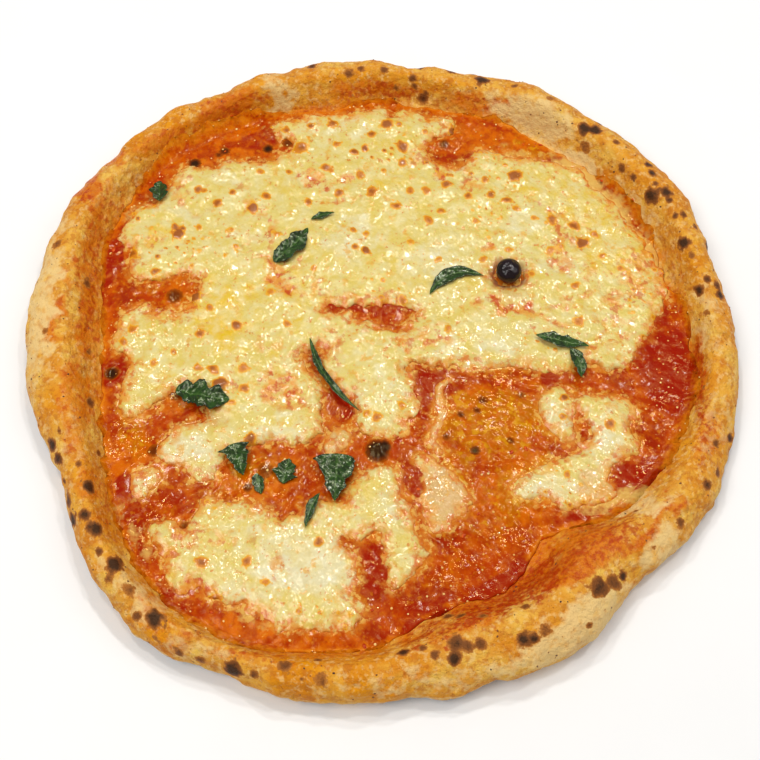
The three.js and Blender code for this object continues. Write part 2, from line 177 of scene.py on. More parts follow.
def spots(marks, points, seen, wobble, seed):
    """Round spots (x, y, width, depth) on a surface: the depth at the middle, fading to 0 at the edge."""
    value = np.zeros(len(points))
    rough = 1 + wobble * noise(points, SPOT_GRAIN, seed)
    for mark, centre in landed(marks, points[seen]):
        near = np.linalg.norm(points - centre, axis=1) / (mark[2] / 2)
        value = np.maximum(value, mark[3] * np.clip(1 - (near * rough) ** 2, 0, 1))
    return value


def patches(marks, points, wobble, seed):
    """Soft-edged patches (x, y, width, height, turn in degrees, strength), broken up at their edges."""
    warp = np.stack([noise(points, PATCH_GRAIN, seed, 3), noise(points, PATCH_GRAIN, seed + 9, 3)], axis=1)
    flat = sighted(points) + wobble * warp
    value = np.zeros(len(points))
    for x, y, width, height, turn, strength in marks:
        c, s = math.cos(math.radians(turn)), math.sin(math.radians(turn))
        dx, dy = flat[:, 0] - x, flat[:, 1] - y
        u = (c * dx + s * dy) / (width / 2)
        v = (c * dy - s * dx) / (height / 2)
        value = np.maximum(value, strength * smooth_step(*PATCH_FADE, np.hypot(u, v)))
    return value


# Scorched spots on the rim: x, y, width, depth.
RIM_SCORCH = [
    (-36, 168, 6, 0.7), (-27, 169, 5, 0.8), (-17, 163, 6, 0.5), (21, 167, 4, 0.7), (38, 166, 6, 0.7),
    (54, 159, 8, 1), (17, 160, 5, 0.6), (18, 155, 4, 0.6), (22, 146, 6, 0.7), (24, 150, 4, 0.5),
    (8, 153, 4, 0.5), (104, 127, 9, 0.9), (110, 126, 9, 1), (113, 132, 4, 0.7), (104, 115, 7, 0.35),
    (121, 101, 5, 0.6), (135, 104, 6, 0.8), (136, 99, 5, 0.9), (127, 96, 4, 0.6), (134, 85, 10, 0.8),
    (142, 87, 7, 0.9), (143, 82, 4, 0.7), (145, 73, 4, 0.7), (149, 73, 5, 0.7), (147, 57, 7, 1),
    (158, 55, 6, 0.9), (150, 50, 4, 0.4), (156, 36, 5, 0.7), (151, 30, 6, 0.9), (161, 28, 6, 0.9),
    (160, 33, 5, 0.7), (131, -43, 5, 0.5), (155, -47, 5, 0.8), (149, -49, 4, 0.6), (148, -63, 5, 0.6),
    (142, -69, 6, 0.7), (129, -86, 5, 0.5), (92, -115, 10, 0.75), (98, -112, 9, 0.6), (102, -110, 5, 0.9),
    (68, -133, 6, 0.4), (59, -137, 7, 0.9), (63, -136, 5, 0.8), (86, -131, 3, 0.5), (60, -123, 4, 0.5),
    (42, -127, 4, 0.5), (28, -127, 5, 0.6), (33, -127, 5, 0.6), (41, -138, 6, 0.6), (31, -138, 8, 0.7),
    (36, -139, 6, 0.6), (22, -143, 5, 0.6), (30, -144, 7, 0.9), (17, -140, 4, 0.5), (9, -142, 5, 0.9),
    (-24, -153, 7, 0.35), (-25, -145, 4, 0.5), (-39, -147, 6, 0.6), (-51, -151, 5, 0.5),
    (-60, -149, 9, 0.9), (-73, -145, 5, 0.5), (-82, -142, 5, 0.5), (-93, -128, 8, 0.95),
    (-100, -127, 5, 0.6), (-104, -116, 6, 0.4), (-113, -111, 5, 0.4), (-112, -104, 9, 1),
    (-119, -99, 4, 0.6), (-121, -89, 7, 0.9), (-124, -88, 5, 0.7), (-113, -85, 4, 0.5), (-127, -83, 6, 0.8),
    (-132, -85, 7, 0.9), (-135, -76, 7, 0.7), (-126, -70, 8, 0.9), (-132, -59, 4, 0.5), (-145, -50, 7, 0.9),
    (-142, -56, 6, 0.8), (-124, -54, 4, 0.5), (-131, -29, 6, 0.6), (-134, -3, 4, 0.4), (-139, 34, 6, 0.5),
    (-156, 57, 5, 0.45), (-156, 8, 4, 0.4), (-106, 153, 4, 0.5), (-88, 160, 4, 0.5), (-64, 165, 4, 0.5),
    (-10, 167, 4, 0.6), (2, 166, 4, 0.5), (48, 163, 4, 0.6), (70, 155, 4, 0.5), (88, 147, 6, 0.3),
    (120, 118, 4, 0.5), (137, 92, 4, 0.6), (154, 66, 4, 0.5), (153, 18, 4, 0.4),
]

# Patches are x, y, width, height, turn in degrees, strength. On the rim: stained by sauce and oil; floury and
# pale, partly painted light that makes the right inner slope paler as if lit; golden brown; and soaked with
# tomato on the inner slope.
RIM_STAIN = [
    (-78, 138, 46, 26, 28, 1), (-110, 118, 36, 18, 45, 0.8), (0, 152, 70, 16, 0, 0.75),
    (52, 142, 40, 18, -20, 0.8), (-138, 60, 18, 80, -8, 0.75), (-136, 15, 16, 70, 5, 0.8),
    (-138, -30, 18, 60, 12, 0.7), (-145, 88, 12, 18, -30, 1), (-133, 108, 10, 16, -40, 0.8),
    (-120, -75, 20, 60, 25, 0.6), (-90, -128, 40, 12, -40, 0.6), (-30, -142, 90, 10, 3, 0.7),
    (25, -133, 60, 14, 15, 0.7), (75, -102, 80, 26, 24, 0.9), (45, -116, 50, 20, 20, 0.9),
    (118, -70, 30, 12, 30, 0.5), (116, -88, 44, 10, 42, 0.9), (144, -12, 16, 40, -5, 1),
    (146, -45, 12, 30, -12, 0.6), (140, 30, 10, 60, 5, 0.5), (105, 105, 22, 10, -45, 0.3),
    (10, -150, 40, 10, 0, 0.35), (-152, 14, 5, 34, 0, 0.8), (-148, 40, 6, 30, -10, 0.5),
]
# Pale floury patches. Those on the right inner slope are painted light: they make that slope paler, as if
# lit.
RIM_FLOUR_AND_LIGHT = [
    (-160, 20, 14, 90, 0, 0.9), (-157, 62, 10, 40, -18, 0.6), (-52, 150, 16, 34, 8, 0.8),
    (78, 134, 50, 30, -28, 1), (110, 78, 18, 64, 30, 1), (96, 104, 40, 16, -45, 1),
    (124, 80, 12, 50, 32, 0.6), (152, 15, 14, 50, 0, 0.6), (148, -40, 12, 40, -15, 0.4),
    (80, -133, 70, 22, 28, 1), (120, -98, 34, 20, 45, 0.8), (112, -78, 26, 8, 15, 0.8),
    (10, -154, 90, 8, 4, 0.5), (-105, -115, 50, 10, -48, 0.6), (-75, -140, 40, 8, -25, 0.5),
    (-140, -45, 10, 40, 18, 0.4), (60, -146, 40, 10, 12, 0.8),
]
RIM_GOLD = [
    (-107, 135, 30, 14, 35, 1), (-128, 122, 14, 30, -35, 0.8), (-20, 160, 60, 12, 2, 0.9),
    (-88, 150, 40, 12, 25, 0.7), (25, 158, 60, 12, -6, 0.8), (130, 105, 50, 12, -50, 0.7),
    (148, 68, 12, 60, 15, 0.6), (-148, -20, 10, 60, 8, 0.5), (-125, -92, 14, 50, 32, 0.6),
    (140, -60, 16, 50, -20, 0.6), (0, -146, 60, 12, 2, 0.8), (-40, -150, 60, 10, -8, 0.5),
]
RIM_RED = [
    (54, -118, 74, 12, 28, 1), (26, -134, 44, 8, 15, 0.8), (92, -96, 60, 14, 36, 0.7),
    (145, -20, 9, 56, -5, 0.9), (-136, 30, 8, 60, 0, 0.6), (142, -50, 10, 30, -12, 0.5),
    (-80, 132, 40, 12, 28, 0.7), (10, 146, 50, 8, 0, 0.6), (-60, -138, 50, 6, -14, 0.5),
    (-146, 86, 8, 16, -30, 0.8), (-66, 128, 36, 20, 15, 1), (-6, 150, 50, 10, 0, 0.6),
]

# Browned blisters on the cheese: x, y, width, depth.
CHEESE_BLISTERS = [
    (-98, 62, 7, 1), (-100, 67, 4, 0.6), (-120, 52, 6, 0.6), (-108, 41, 5, 0.6), (-90, 90, 4, 0.6),
    (-87, 89, 4, 0.5), (-73, 87, 5, 0.6), (-80, 81, 5, 0.6), (-63, 78, 7, 0.9), (-56, 85, 6, 0.6),
    (-72, 65, 4, 0.4), (-88, 67, 4, 0.4), (-70, 55, 4, 0.4), (-88, 28, 7, 0.9), (-80, 22, 4, 0.5),
    (-67, 12, 7, 0.75), (-84, 7, 5, 0.6), (-116, 9, 5, 0.5), (-118, 2, 4, 0.5), (-43, 12, 5, 0.5),
    (-35, 82, 5, 0.6), (-20, 87, 5, 0.6), (-4, 88, 6, 0.6), (-8, 114, 5, 0.8), (-13, 113, 5, 0.7),
    (-22, 117, 4, 0.5), (-35, 129, 5, 0.6), (-25, 130, 6, 0.6), (-48, 126, 5, 0.6), (-4, 123, 5, 0.6),
    (-27, 103, 6, 0.6), (-7, 53, 5, 0.9), (-12, 55, 4, 0.6), (-13, 65, 4, 0.5), (-7, 63, 4, 0.4),
    (-32, 43, 4, 0.4), (-40, 115, 8, 0.6), (12, 115, 7, 0.7), (12, 106, 6, 0.6), (4, 130, 7, 0.7),
    (10, 129, 4, 0.6), (23, 125, 4, 0.5), (38, 127, 6, 0.9), (38, 110, 5, 0.6), (15, 88, 5, 0.5),
    (23, 88, 5, 0.5), (8, 79, 6, 0.6), (43, 85, 5, 0.6), (55, 85, 5, 0.6), (63, 83, 5, 0.6),
    (33, 92, 6, 0.6), (67, 98, 9, 0.75), (24, 70, 5, 0.5), (47, 70, 4, 0.4), (67, 77, 4, 0.4),
    (75, 72, 4, 0.4), (84, 71, 6, 0.6), (95, 68, 6, 0.6), (98, 58, 7, 0.9), (104, 62, 4, 0.5),
    (82, 53, 5, 0.4), (88, 55, 4, 0.4), (28, 48, 4, 0.4), (15, 58, 4, 0.3), (93, 33, 5, 0.5),
    (93, 14, 6, 0.5), (11, 25, 5, 0.5), (32, 10, 4, 0.4), (62, 53, 5, 0.4), (107, 50, 4, 0.5),
    (115, 43, 4, 0.5), (-73, -19, 8, 0.8), (-62, -22, 5, 0.6), (-77, -11, 5, 0.6), (-63, -11, 5, 0.5),
    (-84, -11, 4, 0.5), (-104, -8, 4, 0.4), (-57, -46, 6, 0.7), (-67, -29, 4, 0.4), (-69, -119, 6, 0.6),
    (-56, -103, 5, 0.6), (-75, -104, 6, 0.6), (-26, -95, 5, 0.6), (-48, -112, 5, 0.4), (83, -26, 5, 0.7),
    (82, -36, 4, 0.5), (103, -39, 6, 0.6), (82, -64, 4, 0.5), (-2, -36, 5, 0.5), (-6, -34, 4, 0.4),
    (10, -30, 4, 0.4), (-46, 100, 4, 0.5), (-60, 100, 4, 0.4), (-10, 98, 5, 0.5), (2, 100, 4, 0.4),
    (30, 76, 4, 0.5), (52, 95, 4, 0.5), (-50, 62, 4, 0.4), (-95, -2, 4, 0.5), (-52, 30, 5, 0.4),
    (50, 48, 4, 0.4), (73, 40, 4, 0.4),
]

# Scorched spots on the open sauce and on the large bubble in it: x, y, width, depth.
SAUCE_SCORCH = [
    (-1, -52, 12, 1), (2, -50, 7, 1), (-122, -14, 8, 0.9), (42, -52, 5, 0.8), (-97, 27, 9, 0.5),
    (-57, 114, 6, 0.9), (-93, 105, 7, 0.95), (-78, 112, 6, 0.7), (-92, -24, 8, 0.6), (-47, 118, 7, 0.5),
    (36, -35, 4, 0.6), (47, -28, 5, 0.5), (44, -33, 4, 0.5), (30, -46, 4, 0.4), (33, 117, 6, 0.5),
    (-82, 110, 4, 0.5), (64, -25, 4, 0.4), (58, -48, 4, 0.5), (-58, -70, 5, 0.6), (-50, -62, 9, 0.4),
    (-42, -66, 6, 0.4), (-100, -53, 7, 0.5), (-84, -88, 6, 0.4),
]

# Patches on the cheese: yellow and oily, tomato showing through, thin and pinkish, thick and white.
CHEESE_OIL = [
    (-108, 62, 16, 8, 0, 1), (-75, 18, 34, 44, 0, 1), (-36, 24, 22, 22, 0, 0.8), (104, 50, 26, 24, 0, 0.8),
    (-45, 30, 30, 50, 10, 0.5), (-95, 38, 20, 16, 0, 0.5), (100, 78, 44, 24, -40, 0.7),
    (88, 95, 30, 14, -15, 0.6), (0, 100, 60, 30, 0, 0.4), (-60, -8, 34, 24, 0, 0.5),
    (40, 84, 50, 14, 0, 0.4), (60, 60, 30, 16, 0, 0.3), (-96, -30, 20, 20, 0, 0.8),
    (-20, -12, 14, 26, 0, 0.35), (-48, -118, 30, 10, 0, 0.3), (10, 120, 44, 20, 0, 0.35),
    (118, 45, 24, 30, 0, 0.6), (75, 88, 26, 8, 0, 0.7), (-35, 62, 20, 20, 0, 0.4),
    (-100, -18, 16, 16, 0, 0.5), (0, 45, 40, 16, 0, 0.25), (-88, -108, 16, 14, 0, 0.5),
    (-5, -75, 14, 20, 0, 0.25), (103, 20, 20, 24, 0, 0.4),
]
CHEESE_TOMATO = [
    (-48, 38, 12, 24, 25, 0.9), (-44, -20, 24, 26, 0, 0.85), (-57, 50, 12, 6, 0, 0.6),
    (-32, 94, 16, 12, 0, 0.8), (124, 38, 20, 44, -5, 0.6), (60, 24, 34, 9, -28, 0.9),
    (76, 14, 26, 8, -30, 0.6), (90, 26, 22, 10, 30, 0.5), (53, 57, 9, 12, 0, 0.7),
    (29, 100, 12, 6, 10, 0.8), (-22, 96, 26, 8, 20, 0.6), (20, 107, 22, 16, 0, 0.5),
    (36, 112, 16, 20, 0, 0.7), (-62, 58, 12, 10, 0, 0.4), (-103, 28, 26, 20, 0, 0.8),
    (-92, 18, 16, 12, 0, 0.5), (-100, 92, 14, 20, -30, 0.6), (-84, -90, 22, 14, 0, 0.6),
    (-78, -112, 16, 14, 0, 0.8), (-90, -100, 14, 16, 0, 0.6), (-32, -82, 16, 8, 0, 0.5),
    (-10, -98, 12, 14, 0, 0.5), (92, 66, 22, 6, -20, 0.5), (84, 76, 24, 5, -30, 0.5),
    (70, 8, 20, 6, 0, 0.4), (10, -66, 8, 14, 0, 0.5), (-54, -96, 10, 10, 0, 0.3),
    (-66, -92, 10, 10, 0, 0.5), (95, -82, 14, 5, 0, 0.8), (-30, 32, 20, 16, 0, 0.4),
    (-48, 2, 16, 12, 0, 0.4), (-113, 84, 14, 10, 0, 0.5), (-20, 84, 30, 6, 15, 0.45),
    (100, 40, 16, 10, 0, 0.35), (110, 8, 16, 16, 0, 0.6), (98, 0, 12, 8, 0, 0.5),
    (-72, -26, 16, 16, 0, 0.4), (-100, 108, 20, 8, 20, 0.6), (-116, 20, 16, 20, 0, 0.4),
    (20, -88, 8, 14, 0, 0.5), (-18, 28, 60, 7, 0, 0.5), (12, 22, 14, 10, 0, 0.4), (5, 16, 20, 5, 0, 0.4),
]
CHEESE_THIN = [
    (27, -73, 30, 44, 0, 1), (94, -70, 24, 18, 0, 0.9), (-90, 78, 20, 10, 0, 0.4), (98, 58, 16, 12, 0, 0.6),
    (2, 14, 30, 9, 0, 0.7), (-78, -35, 24, 16, 0, 0.6), (-103, -67, 18, 18, 0, 0.3),
    (-18, -48, 18, 18, 0, 0.8), (27, -35, 16, 44, 0, 0.9), (78, 4, 20, 8, -15, 0.5),
    (-60, 30, 20, 8, 0, 0.3), (62, 30, 22, 10, 0, 0.5), (95, -20, 20, 8, 0, 0.8),
    (-80, -60, 18, 10, 0, 0.5), (80, 20, 40, 14, 0, 0.4), (-95, 45, 20, 10, 0, 0.3),
]
CHEESE_WHITE = [
    (0, -18, 26, 50, 0, 0.5), (-45, -40, 26, 14, 0, 0.8), (-84, -52, 24, 18, 0, 1),
    (-55, -115, 30, 14, 0, 0.6), (-30, -106, 46, 30, 0, 1), (-45, -95, 30, 20, 0, 0.7),
    (8, -78, 14, 24, 0, 0.7), (80, -34, 14, 24, 0, 0.8), (98, -45, 20, 30, 0, 0.8),
    (75, -70, 34, 12, 15, 0.8), (30, 45, 40, 30, 0, 0.7), (70, 70, 30, 16, 0, 0.6),
    (-103, -67, 12, 12, 0, 0.7), (-15, 60, 40, 24, 0, 0.7), (45, 0, 50, 18, 0, 0.6),
    (-80, 95, 26, 14, 0, 0.6), (-95, 75, 24, 12, 0, 0.5), (30, 115, 10, 10, 0, 0.3),
    (-65, 60, 20, 16, 0, 0.5), (85, 45, 24, 20, 0, 0.6), (-40, -108, 20, 24, 0, 0.6),
    (-20, 128, 40, 12, 0, 0.5),
]

# Patches on the sauce next to the rim where melted cheese fat lies over it.
SAUCE_PALE = [
    (104, 88, 70, 22, -52, 1), (126, 52, 34, 14, -75, 0.8), (70, 112, 40, 8, -15, 0.5),
    (-122, 70, 30, 8, 80, 0.4), (110, -74, 40, 8, 10, 0.9), (92, -80, 20, 8, 0, 0.6),
    (-55, -128, 24, 6, -10, 0.5), (-115, 78, 20, 8, 60, 0.5), (-25, -124, 30, 7, 5, 0.6),
    (-102, -96, 22, 9, -60, 0.6), (-110, -82, 14, 12, 0, 0.4),
]

# Bubbles in the sauce, and rings raised round burst ones: x, y, width, height.
SAUCE_BUBBLES = [
    (-1, -52, 14, 2.4), (42, -52, 6, 0.7), (-97, 26, 16, 0.8), (52, -40, 30, 0.7), (60, -70, 26, 0.7),
]
SAUCE_RIDGES = [(42, -52, 9, 0.9), (-122, -14, 10, 1.1), (50, -42, 36, 0.5), (118, -6, 12, 0.7)]

# Patches on the open sauce: golden and bubbled, orange and oily, deep red.
SAUCE_GOLD = [
    (50, -38, 54, 40, 0, 0.75), (62, -70, 44, 26, 30, 0.7), (36, -60, 24, 24, 0, 0.6),
    (74, 112, 40, 12, -8, 0.7), (-110, -45, 16, 24, 0, 0.6), (-54, -64, 28, 24, 0, 0.5),
    (-97, 25, 20, 16, 0, 0.4), (-50, -64, 10, 14, 0, 0.9), (78, -92, 20, 8, 20, 0.5),
    (-60, 118, 24, 8, 0, 0.3), (46, -86, 30, 14, 0, 0.4), (60, -16, 30, 8, 0, 0.4),
]
SAUCE_ORANGE = [
    (-75, 115, 50, 24, 15, 1), (65, 118, 60, 18, -12, 0.9), (-112, -55, 24, 34, 0, 1),
    (50, -40, 70, 50, 0, 0.75), (60, -72, 60, 40, 30, 0.8), (-50, -64, 44, 30, 0, 0.9),
    (-97, 27, 24, 22, 0, 0.8), (-90, -25, 24, 20, 0, 0.8), (-122, 60, 12, 60, 0, 0.4),
    (20, -110, 40, 16, 15, 0.4), (-45, -134, 90, 14, 0, 0.9), (-125, 20, 10, 60, 0, 0.5),
    (50, -95, 30, 14, 30, 0.6), (35, 120, 30, 20, 0, 0.7), (0, 140, 90, 8, 0, 0.7),
    (-105, 105, 24, 14, 40, 0.7), (130, 48, 14, 40, -8, 0.6), (-92, -78, 16, 16, 0, 0.4),
    (76, -58, 24, 12, 0, 0.6),
]
SAUCE_DEEP = [
    (132, -12, 30, 50, -8, 1), (-66, 118, 34, 12, 15, 0.7), (114, -64, 26, 18, 20, 1),
    (26, -19, 26, 14, 0, 1), (18, -30, 8, 24, 0, 0.8), (79, -20, 10, 12, 0, 0.9), (15, -68, 8, 18, 0, 0.8),
    (-1, -108, 12, 26, 0, 0.9), (-78, -112, 16, 16, 0, 0.7), (-90, -76, 16, 12, 0, 0.6),
    (-18, -28, 10, 26, 20, 0.8), (-2, 20, 60, 8, 0, 0.9), (-110, -70, 10, 16, 0, 1),
    (-122, -14, 16, 18, 0, 0.7), (58, -110, 70, 14, 30, 1), (24, -129, 50, 8, 14, 0.9),
    (20, -122, 40, 8, 18, 0.8), (-128, 45, 6, 70, -4, 0.8), (96, -50, 10, 12, 0, 0.7),
    (128, 15, 14, 20, 0, 0.6), (-86, 112, 14, 10, 0, 0.5), (90, -83, 40, 6, 10, 0.7),
    (-30, -135, 80, 6, 3, 0.3), (-85, -120, 20, 14, -35, 0.6), (40, -18, 30, 6, 0, 0.4),
    (-96, -88, 14, 10, 0, 0.5),
]


# ---- Meshes -----------------------------------------------------------------------------------------------


def make_mesh(name, points_mm, faces, layers):
    """A smooth-shaded mesh from points in millimetres, with one value per point for each named layer."""
    mesh = bpy.data.meshes.new(name)
    mesh.from_pydata((points_mm * MM).tolist(), [], faces)
    mesh.polygons.foreach_set("use_smooth", np.ones(len(mesh.polygons), dtype=bool))
    for layer, values in layers.items():
        data = mesh.attributes.new(layer, "FLOAT", "POINT").data
        data.foreach_set("value", np.asarray(values, dtype=np.float32))
    mesh.update()
    return mesh


def make_object(name, data):
    piece = bpy.data.objects.new(name, data)
    bpy.context.scene.collection.objects.link(piece)
    return piece


def finish_piece(piece, slot, *nodes):
    """Rides a piece on the pizza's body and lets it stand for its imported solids."""
    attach(piece, BODY)
    if nodes:
        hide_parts(*nodes)


def node_points(name):
    """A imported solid's points in millimetres, and its triangles as rows of point numbers."""
    mesh = frame["nodes"][name].data
    points = np.empty(len(mesh.vertices) * 3)
    mesh.vertices.foreach_get("co", points)
    mesh.calc_loop_triangles()
    triangles = np.empty(len(mesh.loop_triangles) * 3, dtype=np.int64)
    mesh.loop_triangles.foreach_get("vertices", triangles)
    return points.reshape(-1, 3) / MM, triangles.reshape(-1, 3)


def ring_faces(rows, columns, count):
    """Faces of a closed shape of rings, each outside or below the one before it.

    The last two of its points are the middles of its first and last ring.
    """
    here = np.arange(columns)
    after = (here + 1) % columns
    row = np.arange(rows - 1)[:, None] * columns
    quads = np.stack([row + here, row + columns + here, row + columns + after, row + after], axis=-1)
    last = (rows - 1) * columns
    top = np.stack([np.full(columns, count - 2), here, after], axis=1)
    bottom = np.stack([np.full(columns, count - 1), last + after, last + here], axis=1)
    return quads.reshape(-1, 4).tolist() + top.tolist() + bottom.tolist()


# ---- Node building ----------------------------------------------------------------------------------------

# The Mix node's sockets for colours, by number, as its names repeat for each kind of value.
MIX_AMOUNT = 0
MIX_BELOW = 6
MIX_ABOVE = 7
MIX_RESULT = 2

# Lumps to the metre of the finest noise.
FINEST_GRAIN = 900.0

# How far apart the random masks of one material lie in the noise's fourth direction.
MASK_STEP = 7.3


def add_node(tree, kind, inputs=None, **settings):
    """A node with its settings, and its inputs given as plain values or as sockets to link from."""
    node = tree.nodes.new(kind)
    for name, value in settings.items():
        setattr(node, name, value)
    for name, value in (inputs or {}).items():
        if isinstance(value, bpy.types.NodeSocket):
            tree.links.new(value, node.inputs[name])
        else:
            node.inputs[name].default_value = value
    return node


def math_node(tree, operation, *values, clamp=False):
    """The result of a Math node."""
    node = add_node(tree, "ShaderNodeMath", dict(enumerate(values)), operation=operation, use_clamp=clamp)
    return node.outputs[0]


def open_group(name, kind, inputs, outputs):
    """A node group with named inputs (name, socket type, default) and outputs (name, socket type)."""
    tree = bpy.data.node_groups.new(name, kind)
    for label, socket_type, default in inputs:
        socket = tree.interface.new_socket(label, in_out="INPUT", socket_type=socket_type)
        if default is not None:
            socket.default_value = default
    for label, socket_type in outputs:
        tree.interface.new_socket(label, in_out="OUTPUT", socket_type=socket_type)
    return tree, tree.nodes.new("NodeGroupInput"), tree.nodes.new("NodeGroupOutput")


def place_group(tree, group, inputs):
    """The outputs of a node group, placed with these inputs."""
    return add_node(tree, "ShaderNodeGroup", inputs, node_tree=group).outputs


def tint(tree, amount, below, above):
    """The colour below, covered by the colour above by an amount from 0 to 1."""
    below, above = (c if isinstance(c, bpy.types.NodeSocket) else (*c[:3], 1) for c in (below, above))
    inputs = {MIX_AMOUNT: amount, MIX_BELOW: below, MIX_ABOVE: above}
    return add_node(tree, "ShaderNodeMix", inputs, data_type="RGBA").outputs[MIX_RESULT]


def made_once(name):
    """Lets a function make a node group of this name once, and gives that group from then on."""

    def keep(make):
        def find():
            return bpy.data.node_groups.get(name) or make(name)

        return find

    return keep


@made_once("Mottle")
def mottle_group(name):
    """Noise turned into a mask with a soft or hard edge."""
    sockets = [
        ("Place", "NodeSocketVector", None),
        ("Lump size", "NodeSocketFloat", 0.005),
        ("Level", "NodeSocketFloat", 0.5),
        ("Softness", "NodeSocketFloat", 0.1),
        ("Detail", "NodeSocketFloat", 3.0),
        ("Seed", "NodeSocketFloat", 0.0),
    ]
    tree, start, end = open_group(name, "ShaderNodeTree", sockets, [("Mask", "NodeSocketFloat")])
    scale = math_node(tree, "DIVIDE", 1.0, start.outputs["Lump size"])
    grain = add_node(
        tree,
        "ShaderNodeTexNoise",
        {
            "Vector": start.outputs["Place"],
            "W": start.outputs["Seed"],
            "Scale": scale,
            "Detail": start.outputs["Detail"],
            "Roughness": 0.6,
        },
        noise_dimensions="4D",
    )
    low = math_node(tree, "SUBTRACT", start.outputs["Level"], start.outputs["Softness"])
    high = math_node(tree, "ADD", start.outputs["Level"], start.outputs["Softness"])
    edge = add_node(
        tree,
        "ShaderNodeMapRange",
        {"Value": grain.outputs["Fac"], "From Min": low, "From Max": high},
        interpolation_type="SMOOTHSTEP",
    )
    tree.links.new(edge.outputs["Result"], end.inputs["Mask"])
    return tree


@made_once("Scorch")
def scorch_group(name):
    """Baked spots: a warm halo, a brown ring and a dark middle, broken up by fine noise."""
    sockets = [
        ("Base", "NodeSocketColor", None),
        ("Amount", "NodeSocketFloat", 0.0),
        ("Place", "NodeSocketVector", None),
        ("Breakup", "NodeSocketFloat", 0.25),
        ("Halo", "NodeSocketColor", None),
        ("Ring", "NodeSocketColor", None),
        ("Middle", "NodeSocketColor", None),
    ]
    outputs = [("Color", "NodeSocketColor"), ("Mask", "NodeSocketFloat")]
    tree, start, end = open_group(name, "ShaderNodeTree", sockets, outputs)
    inputs = {"Vector": start.outputs["Place"], "Scale": FINEST_GRAIN, "Detail": 4.0, "Roughness": 0.65}
    grain = add_node(tree, "ShaderNodeTexNoise", inputs)
    centred = math_node(tree, "SUBTRACT", grain.outputs["Fac"], 0.5)
    shift = math_node(tree, "MULTIPLY", centred, start.outputs["Breakup"])
    present = math_node(tree, "MULTIPLY", start.outputs["Amount"], 8.0, clamp=True)
    amount = math_node(tree, "ADD", start.outputs["Amount"], math_node(tree, "MULTIPLY", shift, present))
    colour = start.outputs["Base"]
    for tone, low, high in (("Halo", 0.02, 0.2), ("Ring", 0.18, 0.45), ("Middle", 0.45, 0.8)):
        step = add_node(
            tree,
            "ShaderNodeMapRange",
            {"Value": amount, "From Min": low, "From Max": high},
            interpolation_type="SMOOTHSTEP",
        )
        colour = tint(tree, step.outputs["Result"], colour, start.outputs[tone])
    tree.links.new(colour, end.inputs["Color"])
    tree.links.new(amount, end.inputs["Mask"])
    return tree


@made_once("Baked Skin")
def skin_group(name):
    """Surface height made of broad lumps and fine grain, for a Bump node."""
    sockets = [
        ("Place", "NodeSocketVector", None),
        ("Lump size", "NodeSocketFloat", 0.003),
        ("Grain size", "NodeSocketFloat", 0.0008),
        ("Grain share", "NodeSocketFloat", 0.3),
    ]
    tree, start, end = open_group(name, "ShaderNodeTree", sockets, [("Height", "NodeSocketFloat")])
    heights = []
    for label, detail in (("Lump size", 2.0), ("Grain size", 3.0)):
        scale = math_node(tree, "DIVIDE", 1.0, start.outputs[label])
        grain = add_node(
            tree, "ShaderNodeTexNoise", {"Vector": start.outputs["Place"], "Scale": scale, "Detail": detail}
        )
        heights.append(grain.outputs["Fac"])
    fine = math_node(tree, "MULTIPLY", heights[1], start.outputs["Grain share"])
    tree.links.new(math_node(tree, "ADD", heights[0], fine), end.inputs["Height"])
    return tree


